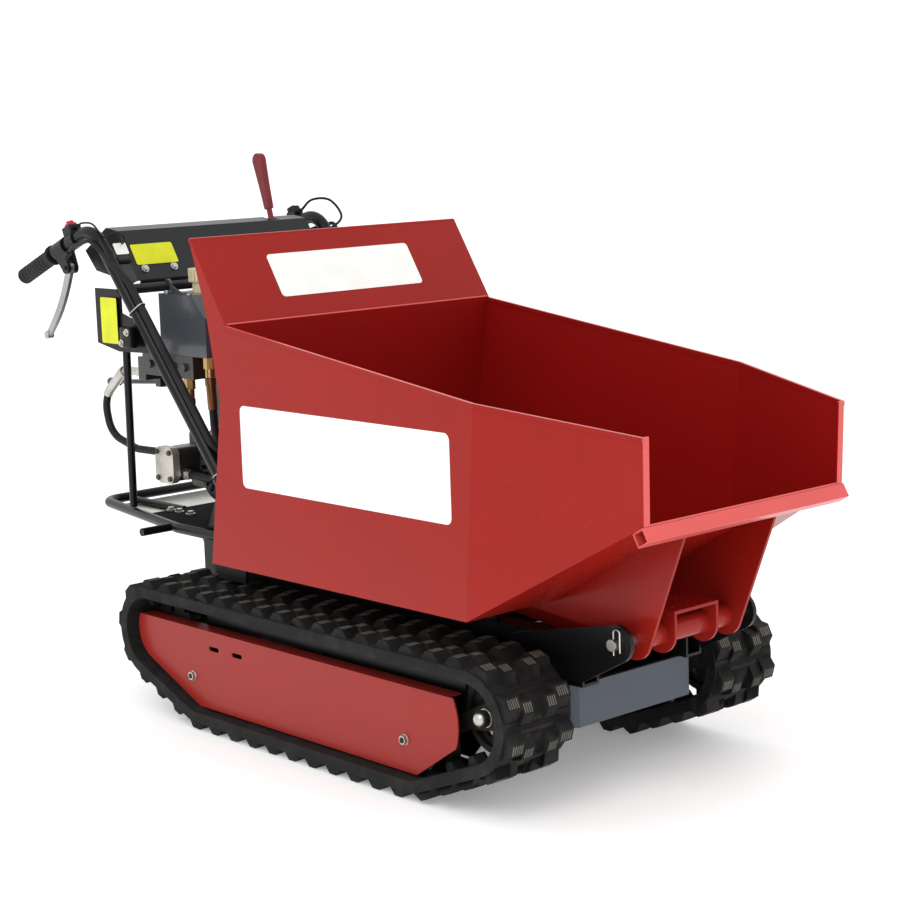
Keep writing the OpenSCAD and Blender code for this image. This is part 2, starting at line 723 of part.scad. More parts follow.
module side_horn() {
  skirt_z = axle_z + belt_r + carcass_t + lug_h + 6;
  foot = stem_foot;
  mid = stem_foot - stem_dir * socket_len;
  difference() {
    union() {
      flat_y(side_in, side_t) polygon([[deck_front - 143, deck_low], [deck_front - 88, skirt_z],
        [deck_front, skirt_z], [foot.x + 12, foot.z + 4], [mid.x + 8, mid.z - 6], [mid.x - 22, mid.z - 6],
        [deck_front - 115, deck_z + 14], [deck_front - 143, deck_z]]);
      rod(foot, mid, bar_r + socket_wall);
    }
    rod(foot + stem_dir, mid - stem_dir, bar_r + fit_gap);
  }
}
module chassis_frame() {
  pad = 34;
  beam_half = bumper_half - 10 - bumper_t - 1.5;
  color([0.13, 0.13, 0.14]) home() union() {
    difference() {
      rail_pair();
      pair() for (x = [rail_rear - 1, rail_front - 60])
        block([x, rail_in + 5, rail_low + 5], [x + 61, rail_in + rail_w - 5, rail_top - 5]);
    }
    for (x = [beam_x[0], beam_x[1]])
      block([x - beam_w / 2, -frame_in + frame_t, beam_low], [x + beam_w / 2, frame_in - frame_t, rail_low]);
    block([beam_x[2] - beam_w / 2, -beam_half, beam_low], [beam_x[2] + beam_w / 2, beam_half, rail_low]);
    pair() hinge_bracket();
    ram_clevis();
    deck();
    pair() side_horn();
    pair() for (x = [20, 480])
      translate([x, rail_in + rail_w / 2, rail_top]) cylinder(d = pad, h = floor_z - rail_top - 0.3);
  }
}
module front_bumper() {
  lip = 38;
  back = bumper_x - lip;
  color("slategray") home() difference() {
    flat_z(bumper_z, bumper_h) polygon(folded([[back, bumper_half - 10], [bumper_x - 10, bumper_half],
      [bumper_x, bumper_half - 12], [bumper_x, 12 - bumper_half], [bumper_x - 10, -bumper_half],
      [back, 10 - bumper_half]], -bumper_t));
    pair() translate([back - 1, bumper_half - 40, bumper_z - 1]) rotate([0, 90, 0])
      linear_extrude(lip - 9) polygon([[0, 0], [0, 60], [-26, 60]]);
  }
}

// Tracks, drawn for the left side
module left() { home() children(); }
module right() { home() mirror([0, 1, 0]) children(); }
module track_frame() {
  y0 = frame_in - frame_t;
  union() {
    block([frame_x[0], y0, frame_z - frame_t], [frame_x[1], frame_out + frame_t, frame_z]);
    for (y = [y0, frame_out]) flat_y(y, frame_t) polygon([[frame_x[0], frame_z], [frame_x[0], frame_low + 34],
      [frame_x[0] + 30, frame_low], [frame_x[1] - 30, frame_low], [frame_x[1], frame_low + 34],
      [frame_x[1], frame_z]]);
    for (x = [beam_x[0], beam_x[1]])
      block([x - beam_w / 2, y0, frame_z], [x + beam_w / 2, frame_in, rail_low]);
    for (i = [0 : roller_n - 1]) round_y(roller_at(i), y0 - 4, frame_out + frame_t, roller_pin_d / 2);
    for (p = stud_at) {
      round_y(p, frame_out, cover_y - cover_t, stud_d);
      round_y(p, frame_out, cover_y + 9, stud_d / 2);
    }
  }
}
module cover_outline() {
  nose_r = 110;
  nose = [cover_front - nose_r, 146];
  toe = [frame_x[0] + 37, cover_low];
  chin = [nose_r, 0.66 * nose_r];
  intersection() {
    union() {
      translate(sprocket) circle(r = belt_r - 8);
      polygon([[sprocket.x, cover_top], [nose.x, cover_top], [nose.x, cover_low],
        toe, tangent(sprocket, belt_r - 8, toe, -1), sprocket]);
      translate(nose) intersection() {
        circle(r = nose_r);
        polygon([[0, cover_low - nose.y], [chin.x, cover_low - nose.y + chin.y], [nose_r, nose_r],
          [0, nose_r]]);
      }
    }
    translate([sprocket.x - belt_r, cover_low])
      square([idler.x - sprocket.x + 2 * belt_r, cover_top - cover_low]);
  }
}
module track_cover() {
  top_rear = sprocket.x - sqrt((belt_r - 8) ^ 2 - (cover_top - axle_z) ^ 2);
  union() {
    flat_y(cover_y - cover_t, cover_t) difference() {
      cover_outline();
      for (p = stud_at) translate(p) circle(r = stud_d / 2 + fit_gap);
      for (x = [-108, -34]) translate([x - 16, cover_top - 38]) soft_square([32, 9], 4.4);
    }
    block([top_rear, cover_y - cover_flange, cover_top - cover_t], [cover_front - 26, cover_y, cover_top]);
  }
}
module cover_nuts() {
  color("silver") home() pair() for (p = stud_at) difference() {
    translate([p.x, cover_y, p.y]) rotate([-90, 0, 0]) union() {
      cylinder(r = stud_d, h = 1.5);
      cylinder(r = stud_d * 0.9, h = 8, $fn = 6);
    }
    round_y(p, cover_y - 1, cover_y + 20, stud_d / 2 + fit_gap);
  }
}
// Loop round the belt at height h from its inner face
function plain_loop(h) = [for (i = [0 : 3]) each [for (k = [0 : arc_steps(i)])
  let(a = arrive(i) + wrap(i) * k / arc_steps(i))
    [wheel(i).x, wheel(i).y] + (wheel(i).z + h) * [cos(a), sin(a)]]];
// A row of teeth round the belt, sunk in it and standing from the height low to the height high
module tooth_row(y, w, low, base, high, top, shift) {
  flat_y(y, w) for (i = [0 : lug_n - 1]) let(s = (i + lug_phase) * lug_len + shift)
    polygon([belt_pt(s - base / 2, low), belt_pt(s - top / 2, high), belt_pt(s + top / 2, high),
      belt_pt(s + base / 2, low)]);
}
module lug_row(y, w, shift) {
  tooth_row(y, w, carcass_t - sink, lug_base, carcass_t + lug_h, lug_top, shift);
}
module horn_row(y, w, shift) {
  tooth_row(y, w, sink, horn_base, -horn_h, horn_tip, shift);
}
module track_belt() {
  inner_y = belt_mid + belt_w / 2 - belt_edge - lug_outer_w - lug_inner_w;
  outer_y = inner_y + lug_inner_w;
  union() {
    flat_y(belt_out - belt_w, belt_w) difference() {
      polygon(plain_loop(carcass_t));
      polygon(plain_loop(0));
    }
    about_belt() {
      lug_row(inner_y, lug_inner_w, -lug_step);
      lug_row(outer_y, lug_outer_w, 0);
      horn_row(inner_y, lug_inner_w, -lug_step);
    }
  }
}
// Children on both halves of the belt's width
module about_belt() {
  children();
  translate([0, 2 * belt_mid, 0]) mirror([0, 1, 0]) children();
}
module tensioner() {
  stem_top_z = frame_z - frame_t - 0.3;
  stem_low_z = roller_z + roller_r + 4;
  stem_end = idler.x - wheel_r - 5;
  hub_r = idler_pin_d / 2 + 12;
  arm_t = 7;
  tip = [frame_x[1] + 4, stem_top_z];
  root = [frame_x[1] - 30, stem_low_z];
  union() {
    block([frame_x[1] - 100, belt_mid - fork_in - arm_t, stem_low_z],
      [stem_end, belt_mid + fork_in + arm_t, stem_top_z]);
    for (y = [belt_mid - fork_in - arm_t, belt_mid + fork_in]) flat_y(y, arm_t) {
      translate(idler) circle(r = hub_r);
      polygon([root, tangent(idler, hub_r, root, 1), idler, tangent(idler, hub_r, tip, -1), tip]);
    }
    round_y(idler, belt_mid - fork_in - arm_t - 3, cover_y - 24, idler_pin_d / 2);
    round_y(idler, belt_mid + fork_in + arm_t, belt_mid + fork_in + arm_t + 10, idler_pin_d / 2 + 4);
  }
}
module wheel_disc(r, hub, bore, rim) {
  web = 4;
  edge = 2;
  translate([0, belt_mid, 0]) rotate([-90, 0, 0]) rotate_extrude() polygon([[bore, -wheel_half],
    [hub, -wheel_half], [hub, -web], [r - rim, -web], [r - rim, -wheel_half], [r - edge, -wheel_half],
    [r, edge - wheel_half], [r, wheel_half - edge], [r - edge, wheel_half], [r - rim, wheel_half],
    [r - rim, web], [hub, web], [hub, wheel_half], [bore, wheel_half]]);
}
module idler_wheel() {
  translate([idler.x, 0, idler.y]) difference() {
    wheel_disc(wheel_r, idler_pin_d / 2 + 10, idler_pin_d / 2 + run_gap, 12);
    for (a = [0 : 60 : 300]) rotate([0, a, 0])
      round_y([(wheel_r + 10) / 2, 0], belt_mid - 9, belt_mid + 9, 8);
  }
}
module sprocket_wheel() {
  tooth_w = 15;
  union() {
    flat_y(belt_mid - wheel_half, wheel_w) translate(sprocket) difference() {
      union() {
        circle(r = wheel_r - 12);
        for (i = [0 : sprocket_teeth - 1]) rotate(i * 360 / sprocket_teeth)
          polygon([[0, -tooth_w / 2], [wheel_r - 4, -tooth_w / 2], [wheel_r - 1, -tooth_w / 4],
            [wheel_r - 1, tooth_w / 4], [wheel_r - 4, tooth_w / 2], [0, tooth_w / 2]]);
      }
      for (a = [30 : 60 : 330]) rotate(a) translate([(wheel_r + 10) / 2 - 2, 0]) circle(r = 7);
    }
    round_y(sprocket, 62, belt_mid + wheel_half + 12, drive_d / 2);
    round_y(sprocket, belt_mid - wheel_half - 10, belt_mid + wheel_half + 4, drive_d / 2 + 7);
  }
}
module road_roller(i) {
  translate([roller_at(i).x, 0, roller_at(i).y])
    wheel_disc(roller_r, roller_pin_d / 2 + 8, roller_pin_d / 2 + run_gap, 9);
}
module on_side(s) { if (s > 0) left() children(); else right() children(); }
module roller_node(s, i) { color("gray") on_side(s) road_roller(i); }
module track_frame_r() { color("dimgray") right() track_frame(); }
module track_frame_l() { color("dimgray") left() track_frame(); }
module track_cover_r() { color("firebrick") right() track_cover(); }
module track_cover_l() { color("firebrick") left() track_cover(); }
module track_belt_r() { color([0.12, 0.12, 0.12]) right() track_belt(); }
module track_belt_l() { color([0.12, 0.12, 0.12]) left() track_belt(); }
module tensioner_r() { color("gray") right() tensioner(); }
module tensioner_l() { color("gray") left() tensioner(); }
module idler_r() { color("gray") right() idler_wheel(); }
module idler_l() { color("gray") left() idler_wheel(); }
module sprocket_r() { color("gray") right() sprocket_wheel(); }
module sprocket_l() { color("gray") left() sprocket_wheel(); }

// Drive train
module gearbox() {
  half = rail_in - 5;
  ear = 26;
  color("gray") home() difference() {
    union() {
      round_y(sprocket, -half, half, gearbox_r);
      flat_y(-half, 2 * half) {
        translate(gearbox_in) circle(r = 44);
        polygon([sprocket, sprocket + [0, gearbox_r], gearbox_in + [0, 44], gearbox_in - [0, 44],
          sprocket - [0, gearbox_r]]);
      }
      for (x = [sprocket.x - 40, sprocket.x + 60]) block([x - ear / 2, -rail_in, rail_low + 12],
        [x + ear / 2, rail_in, rail_low + 34]);
      pair() round_y(sprocket, half, bracket_in, drive_d / 2 + 14);
      round_y(gearbox_in, half, guard_y, 28);
      for (y = [-half / 2, 0, half / 2]) round_y(sprocket, y - 4, y + 4, gearbox_r + 6);
    }
    pair() round_y(sprocket, 60, bracket_in + 1, drive_d / 2 + run_gap);
  }
}
module engine_block() {
  side = engine_y[1] - engine_y[0];
  mid_y = 1;
  fin_step = (head_z - block_top) / fin_n;
  foot_z = deck_z + 16;
  color([0.5, 0.5, 0.5]) home() union() {
    for (y = [engine_y[0] + 8, engine_y[1] - 32])
      block([crank.x - 100, y, deck_z], [crank.x + 100, y + 24, foot_z]);
    flat_y(engine_y[0], side) {
      translate([crank.x - 85, foot_z]) soft_square([170, block_top - foot_z], 18);
      translate(crank) circle(r = 80);
    }
    round_y(crank, engine_y[1], engine_y[1] + 14, 62);
    round_y(crank, engine_y[1] + 14, guard_y, 14);
    translate([crank.x, mid_y, block_top - 5]) cylinder(r = 42, h = head_z - block_top + 6);
    for (i = [0 : fin_n - 1]) flat_z(block_top + (i + 0.5) * fin_step, fin_step * 0.4)
      translate([cyl_x[0], engine_y[0] + 1]) soft_square([cyl_x[1] - cyl_x[0], 110], 14);
    flat_z(head_z, 24) translate([cyl_x[0], engine_y[0] + 1]) soft_square([cyl_x[1] - cyl_x[0], 110], 10);
    flat_z(head_z + 24, 26) translate([cyl_x[0] + 18, engine_y[0] + 14])
      soft_square([cyl_x[1] - cyl_x[0] - 36, 84], 16);
    for (x = [crank.x - 70, crank.x + 70]) block([x - 9, engine_y[1] - 32, block_top - 20],
      [x + 9, engine_y[1] - 8, head_z - 50]);
    round_y(pump, plate_in, engine_y[0] + 15, 34);
    block([pump.x, plate_in + 9, pump.y - 28], [crank.x - 70, engine_y[0] + 15, pump.y + 28]);
  }
}
module engine_shroud() {
  depth = engine_y[0] - shroud_y;
  plate_end = pump.x + pump_plate.x / 2 + 1;
  color([0.16, 0.16, 0.17]) home() difference() {
    flat_y(shroud_y, depth) {
      translate(crank) circle(r = recoil_r + 12);
      translate([cyl_x[0] - 4, crank.y]) soft_square([cyl_x[1] - cyl_x[0] + 8, head_z + 26 - crank.y], 14);
    }
    round_y(crank, shroud_y - 1, shroud_y + 12, recoil_r - 22);
    block([pump.x, shroud_y - 1, pump.y - 62], [plate_end, engine_y[0] + 1, pump.y + 62]);
    block([pump.x, plate_in - fit_gap, pump.y - 60], [crank.x - 70 + fit_gap, engine_y[0] + 1, pump.y + 60]);
  }
}
module recoil_starter() {
  slots = 16;
  color("lightgray") home() translate([crank.x, shroud_y, crank.y]) rotate([90, 0, 0]) union() {
    difference() {
      rotate_extrude() polygon([[0, 0], [recoil_r, 0], [recoil_r, 6], [recoil_r - 8, 20],
        [recoil_r - 24, recoil_h - 6], [recoil_r - 34, recoil_h], [22, recoil_h], [20, recoil_h - 5],
        [0, recoil_h - 5]]);
      for (i = [0 : slots - 1]) rotate(i * 360 / slots) translate([34, -4, recoil_h - 10]) cube([18, 8, 20]);
    }
    for (a = [45 : 90 : 315]) rotate(a) translate([recoil_r - 2, 0, 0]) cylinder(r = 7, h = 8);
  }
}
module fuel_tank() {
  base = head_z - 50;
  color([0.62, 0.1, 0.08]) home() union() {
    flat_z(base, 105) translate([crank.x - 88, engine_y[1] - 32]) soft_square([176, 140], 26);
    flat_z(base + 48, 6) translate([crank.x - 92, engine_y[1] - 36]) soft_square([184, 148], 30);
    translate([crank.x, engine_y[1] + 50, base + 105]) cylinder(r = 24, h = 22);
  }
}
module air_cleaner() {
  at = [crank.x + 130, 15];
  color([0.1, 0.1, 0.1]) home() union() {
    rod([cyl_x[1], at.y, head_z + 12], [at.x, at.y, head_z + 12], 11);
    translate([at.x, at.y, head_z - 50]) rotate_extrude() polygon([[0, 0], [air_r - 6, 0], [air_r, 6],
      [air_r, 40], [air_r + 4, 42], [air_r + 4, 48], [air_r, 50], [air_r - 2, 84], [air_r - 14, 96],
      [0, 96]]);
    translate([at.x, at.y, head_z + 46]) cylinder(r = 9, h = 10, $fn = 6);
  }
}
module muffler() {
  at = [crank.x - 146, head_z - 8];
  y = [-5, 140];
  color([0.35, 0.32, 0.3]) home() union() {
    rod([cyl_x[0], 25, head_z + 12], [at.x, 25, head_z + 12], 12);
    round_y(at, y[0], y[1], muffler_r);
    for (k = y) round_y(at, k - 3, k + 3, muffler_r + 4);
    round_y(at - [14, 12], y[1], y[1] + 34, 13);
  }
}
module belt_guard() {
  top_r = 75;
  low_r = 52;
  color([0.12, 0.12, 0.13]) home() union() {
    flat_y(guard_y, guard_t) guard_outline(top_r, low_r);
    flat_y(guard_y + 8, 5) guard_outline(top_r + 4, low_r + 4);
  }
}
module guard_outline(top_r, low_r) {
  gap = crank - gearbox_in;
  lean = acos((low_r - top_r) / norm(gap));
  aim = atan2(gap.y, gap.x);
  translate(crank) circle(r = top_r);
  translate(gearbox_in) circle(r = low_r);
  polygon([for (s = [1, -1]) each [for (k = s > 0 ? [0, 1] : [1, 0])
    (k > 0 ? crank : gearbox_in) + (k > 0 ? top_r : low_r) * [cos(aim + s * lean), sin(aim + s * lean)]]]);
}

// Hydraulics
module oil_tank() {
  top = tank_z + tank_h;
  color([0.24, 0.25, 0.27]) home() difference() {
    union() {
      flat_y(tank_y[0], tank_y[1] - tank_y[0]) polygon([[tank_x[0], tank_z], [tank_x[1], tank_z],
        [tank_x[1], top - tank_chamfer], [tank_x[1] - tank_chamfer, top], [tank_x[0], top]]);
      for (y = [tank_y[0] + 20, tank_y[1] - 30]) flat_y(y, 6) {
        translate([cross_at.x, cross_z]) circle(r = cross_d / 2 + 5);
        polygon([[tank_x[0], top - 4], [tank_x[0] + 60, top - 4], [cross_at.x + 16, cross_z],
          [cross_at.x, cross_z]]);
      }
    }
    round_y([cross_at.x, cross_z], tank_y[0] - 1, tank_y[1] + 1, cross_d / 2 + fit_gap);
  }
}
module tank_filler() {
  cap_h = filler_h * 0.55;
  ridges = 20;
  color("gainsboro") home() translate([tank_x[0] + 62, tank_y[0] + 62, tank_z + tank_h]) union() {
    cylinder(d = filler_d, h = filler_h - 4);
    translate([0, 0, filler_h - cap_h]) linear_extrude(cap_h) {
      circle(d = filler_d + 10);
      for (i = [0 : ridges - 1]) rotate(i * 360 / ridges) translate([filler_d / 2 + 3, -1.5]) square([4, 3]);
    }
  }
}
module gear_pump() {
  w = pump_size.x;
  h = pump_size.y;
  plate_y0 = plate_in - 6;
  color([0.15, 0.15, 0.16]) home() union() {
    flat_y(plate_y0, 6) translate(pump - pump_plate / 2) soft_square(pump_plate, 14);
    flat_y(pump_y + 18, plate_y0 - pump_y - 18) translate(pump - [w, h] / 2) soft_square([w, h], 16);
    flat_y(pump_y, 17) translate(pump - [w + 6, h + 6] / 2) soft_square([w + 6, h + 6], 18);
    flat_y(pump_y + 17, 1) translate(pump - [w, h] / 2) soft_square([w, h], 16);
    for (x = [-1, 1], z = [-1, 1])
      translate([pump.x + x * (w / 2 - 8), pump_y, pump.y + z * (h / 2 - 8)]) rotate([90, 0, 0])
        cylinder(r = 6, h = 5, $fn = 6);
  }
}
module control_valve() {
  color([0.11, 0.11, 0.12]) home() union() {
    block([valve_x[0], valve_y[0], valve_low], [valve_x[1], valve_y[1], tank_z]);
    for (x = [-440, -400, -360, -320])
      translate([x, valve_y[0], tank_z - valve_h / 2]) rotate([90, 0, 0]) cylinder(r = 9, h = 6, $fn = 6);
    block([bonnet_x, tip_y - 16, tip_pivot.y - 9], [tip_pivot.x + 9, tip_y - 4 - side_gap, tank_z - 20]);
    block([bonnet_x, valve_y[0] + 6, valve_low - 14], [valve_x[0], tip_y - 4 - side_gap, tank_z - 12]);
    round_y(tip_pivot, tip_y - 10, tip_y + 8, 5);
  }
}
// A hexagon nut and a ferrule from the port p to the hose end q
module fitting(p, q) {
  v = q - p;
  nut = 0.55;
  seat = 0.9;
  translate(p) rotate([0, acos(v.z / norm(v)), atan2(v.y, v.x)])
    cylinder(r = hose_d / 2 + 4, h = nut * norm(v), $fn = 6);
  rod(p + nut * v, q - seat * unit(v), hose_d / 2 + 1.5);
}
module hose_fittings() {
  from_tank = suction_hose[0];
  to_pump = suction_hose[4];
  from_pump = pressure_hose[5];
  to_valve = pressure_hose[0];
  from_valve = work_hose[0];
  to_deck = work_hose[5];
  color([0.72, 0.62, 0.4]) home() {
    fitting([from_tank.x, from_tank.y, tank_z], from_tank);
    fitting([pump.x + pump_size.x / 2, to_pump.y, to_pump.z], to_pump);
    fitting([pump.x - pump_size.x / 2, from_pump.y, from_pump.z], from_pump);
    fitting([bonnet_x, to_valve.y, to_valve.z], to_valve);
    fitting([from_valve.x, from_valve.y, valve_low], from_valve);
    fitting([to_deck.x, to_deck.y, deck_z], to_deck);
  }
}
module hydraulic_hoses() {
  color([0.08, 0.08, 0.08]) home() for (route = [pressure_hose, suction_hose, work_hose])
    bent_bar(route, hose_d / 2, hose_bend, 12, 6);
}

// Handlebars and console
module bar() {
  start = grip_end + grip_dir * grip_cap;
  bent_bar([bar_pt(start, bar_y), stem_top, stem_foot], bar_r, bar_bend_r, 16, 8);
}
// Places children on the straight grip part of the left bar, x along it and z across it
module on_bar() { translate([grip_end.x, bar_y, grip_end.y]) rotate([0, -bar_tilt, 0]) children(); }
module handlebar_r() { color([0.1, 0.1, 0.1]) right() bar(); }
module handlebar_l() { color([0.1, 0.1, 0.1]) left() bar(); }
module grips() {
  rings = 9;
  color([0.06, 0.06, 0.06]) home() pair() on_bar() difference() {
    union() {
      along_x(0, grip_len, grip_d / 2 - 1);
      for (i = [0 : rings - 1]) along_x(i * 12, i * 12 + 7, grip_d / 2);
      along_x(grip_len - 6, grip_len, grip_d / 2 + 4);
    }
    along_x(grip_cap, grip_len + 1, bar_r + fit_gap);
  }
}
module lever_brackets() {
  inner = lever_t / 2 + side_gap;
  ear = 7;
  color([0.12, 0.12, 0.12]) home() pair() on_bar() difference() {
    union() {
      along_x(lever_root.x - 30, lever_root.x + 14, bar_r + 5);
      for (y = [-inner - ear, inner]) flat_y(y, ear) {
        translate(lever_root) circle(r = 12);
        polygon([lever_root + [12, 0], [lever_root.x + 12, -bar_r + 2], [lever_root.x - 26, -bar_r + 2],
          lever_root - [12, 0]]);
      }
      round_y(lever_root, -inner - ear - 3, inner + ear + 3, lever_pin_d / 2);
      translate([lever_root.x + 12, inner + ear - 1, lever_root.y + 16]) rotate([0, 60, 0])
        cylinder(r = 7, h = 18, $fn = 6);
    }
    along_x(lever_root.x - 40, lever_root.x + 20, bar_r + fit_gap);
  }
}
module steering_lever() {
  bow = 10;
  steps = 12;
  knob_r = 8;
  knob_half = 7;
  function along(u) = [-u * lever_len, -bow * sin(180 * u)];
  function thick(u) = 10 - 3 * u;
  on_bar() translate([lever_root.x, 0, lever_root.y]) rotate([0, -lever_a, 0]) difference() {
    union() {
      flat_y(-lever_t / 2, lever_t) {
        circle(r = 11);
        polygon(concat([for (i = [0 : steps]) along(i / steps) + [0, thick(i / steps)]],
          [for (i = [steps : -1 : 0]) along(i / steps) - [0, thick(i / steps)]]));
      }
      round_y([-lever_len, 0], -knob_half, knob_half, knob_r);
    }
    round_y([0, 0], -lever_t, lever_t, lever_pin_d / 2 + run_gap);
  }
}
module steering_lever_r() { color([0.1, 0.1, 0.1]) right() steering_lever(); }
module steering_lever_l() { color([0.1, 0.1, 0.1]) left() steering_lever(); }
module control_bases() {
  color([0.1, 0.1, 0.1]) home() {
    mirror([0, 1, 0]) on_bar() difference() {
      union() {
        along_x(stop_at - 14, stop_at + 14, bar_r + 4);
        block([stop_at - 14, -14, bar_r - 2], [stop_at + 14, 14, base_h]);
        rod([stop_at + 10, 0, base_h - 8], [stop_at + 24, 0, base_h - 8], 5);
      }
      along_x(stop_at - 20, stop_at + 26, bar_r + fit_gap);
      translate([stop_at - button_w / 2 - fit_gap, -button_w / 2 - fit_gap, base_h - 12])
        cube([button_w + 2 * fit_gap, button_w + 2 * fit_gap, 20]);
    }
    on_bar() difference() {
      union() {
        along_x(stop_at - 14, stop_at + 14, bar_r + 4);
        block([stop_at - 14, -12, bar_r - 2], [stop_at + 14, 12, base_h]);
        translate([stop_at, 0, base_h]) cylinder(r = 5, h = 12);
        rod([stop_at + 10, 0, base_h - 8], [stop_at + 24, 0, base_h - 8], 5);
      }
      along_x(stop_at - 20, stop_at + 26, bar_r + fit_gap);
    }
  }
}
module stop_button() {
  color("crimson") home() mirror([0, 1, 0]) on_bar() translate([stop_at, 0, base_h - 8]) union() {
    translate([-button_w / 2, -button_w / 2, 0]) cube([button_w, button_w, 14]);
    translate([0, 0, 14]) cylinder(r = button_w / 2 - 1, h = 4);
  }
}
module throttle_lever() {
  color([0.1, 0.1, 0.1]) home() on_bar() translate([stop_at, 0, base_h + 0.3]) difference() {
    union() {
      cylinder(r = 14, h = 8);
      flat_z(0, 6) polygon([[-8, 10], [-30, 34], [-22, 40], [8, 12]]);
      translate([-26, 37, 0]) cylinder(r = 6, h = 12);
    }
    translate([0, 0, -1]) cylinder(r = 5 + run_gap, h = 10);
  }
}
module console() {
  boss_r = 8;
  slot_x = [-545, -478];
  slot_w = 18;
  color([0.2, 0.21, 0.23]) home() difference() {
    union() {
      flat_y(-console_half, 2 * console_half) polygon(folded(console_profile, console_t));
      pair() flat_y(console_half - console_t, console_t)
        polygon(concat(console_profile, [[-560, 868], [-430, 846]]));
      pair() round_y([brace_at.x, brace_at.z], console_half - console_t,
        brace_at.y - bar_r - butt_gap, boss_r);
      flat_y(gear_y + 9, 5) polygon([[-500, 953], [-458, 926], [-452, 862], [-510, 862], [-545, 938]]);
      round_y(gear_pivot, gear_y - 9, gear_y + 12, 6);
      round_y([cross_at.x, cross_z], -cross_at.y + bar_r + butt_gap,
        cross_at.y - bar_r - butt_gap, cross_d / 2);
      for (y = [-120, 120]) flat_y(y - 3, 6)
        polygon([[-414, 858], [-410, 853], [cross_at.x, cross_z], [-408, 840]]);
    }
    block([slot_x[0], gear_y - slot_w / 2, gear_pivot.y + 20],
      [slot_x[1], gear_y + slot_w / 2, gear_pivot.y + 100]);
  }
}
module gear_lever() {
  back = 57;
  lean = atan2(-back, gear_z - gear_pivot.y);
  reach = norm([back, gear_z - gear_pivot.y]);
  end_r = 16;
  color([0.5, 0.18, 0.2]) home() translate([gear_pivot.x, gear_y, gear_pivot.y]) rotate([0, lean, 0])
    difference() {
    union() {
      round_y([0, 0], -7, 7, 13);
      cylinder(r = 6, h = reach - 100);
      flat_y(-7, 14) {
        polygon([[-8, reach - 122], [8, reach - 122], [11, reach - 70], [end_r, reach - end_r],
          [-end_r, reach - end_r], [-11, reach - 70]]);
        translate([0, reach - end_r]) circle(r = end_r);
      }
    }
    round_y([0, 0], -8, 8, 6 + run_gap);
  }
}
module tip_lever() {
  color([0.1, 0.1, 0.1]) home() translate([tip_pivot.x, tip_y, tip_pivot.y]) rotate([0, -4, 0]) difference() {
    union() {
      round_y([0, 0], -4, 6, 11);
      rod([-6, 1, 0], [-tip_len, 1, 0], 5);
      rod([-tip_len + 34, 1, 0], [-tip_len, 1, 0], 9);
    }
    round_y([0, 0], -10, 10, 5 + run_gap);
  }
}
module control_cables() {
  color([0.07, 0.07, 0.07]) home() {
    pair() bent_bar(clutch_cable, cable_d / 2, 24, 10, 3);
    bent_bar(stop_wire, cable_d / 4, 10, 8, 3);
    bent_bar(throttle_cable, cable_d / 3, 10, 8, 3);
  }
}

// Rear guard
module guard_loop() {
  r = loop_d / 2;
  peg_x = -322;
  stay_y = 110;
  corner = [loop_x, loop_half, loop_z];
  shoulder = [loop_front, loop_y, loop_z];
  front = [deck_front - 40, loop_y, loop_z];
  function other(p) = [p.x, -p.y, p.z];
  color([0.1, 0.1, 0.1]) home() union() {
    bent_bar([front, shoulder, corner, other(corner), other(shoulder), other(front)], r, 45, 16, 6);
    pair() rod([rear_x, stay_y, loop_z - 4], [loop_x, stay_y, loop_z - 4], 7);
    rod([peg_x, -loop_side(peg_x), loop_z], [peg_x, -loop_y - r - peg_len, loop_z], 8);
  }
}
module guard_rod() {
  foot = [rod_low_x, -loop_side(rod_low_x), loop_z + loop_d / 2 + 2.5];
  color([0.1, 0.1, 0.1]) home() rod(foot, rod_top, post_d / 2);
}
module side_plate() {
  plate_t = 4;
  bolt_r = 6;
  inner = rod_top.y - post_d / 2 - butt_gap;
  color([0.14, 0.14, 0.15]) home() union() {
    flat_y(inner - plate_t, plate_t) polygon([[-517, 726], [-440, 712], stem_rear(715), stem_rear(775),
      [-425, 790], [-425, 823], [-439, 837], [-517, 837]]);
    for (at = [[-376, 750], [-404, 730]]) translate([at.x, inner - plate_t, at.y]) rotate([90, 0, 0])
      cylinder(r = bolt_r, h = 5, $fn = 6);
  }
}

skip_shell();
skip_lip();
hinge_plates();
hinge_yoke();
hinge_pin();
ram_barrel();
ram_rod();
chassis_frame();
front_bumper();
track_frame_r();
track_frame_l();
track_cover_r();
track_cover_l();
cover_nuts();
track_belt_r();
track_belt_l();
tensioner_r();
tensioner_l();
sprocket_r();
sprocket_l();
idler_r();
idler_l();
roller_node(-1, 0);  // roller_r1
roller_node(-1, 1);  // roller_r2
roller_node(-1, 2);  // roller_r3
roller_node(-1, 3);  // roller_r4
roller_node(1, 0);  // roller_l1
roller_node(1, 1);  // roller_l2
roller_node(1, 2);  // roller_l3
roller_node(1, 3);  // roller_l4
gearbox();
engine_block();
engine_shroud();
recoil_starter();
fuel_tank();
air_cleaner();
muffler();
belt_guard();
oil_tank();
tank_filler();
gear_pump();
control_valve();
hose_fittings();
hydraulic_hoses();
console();
handlebar_r();
handlebar_l();
grips();
lever_brackets();
control_bases();
control_cables();
guard_loop();
guard_rod();
side_plate();
steering_lever_r();
steering_lever_l();
stop_button();
throttle_lever();
gear_lever();
tip_lever();
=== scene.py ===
import json
import math
import bmesh
import bpy
from mathutils import Matrix, Vector


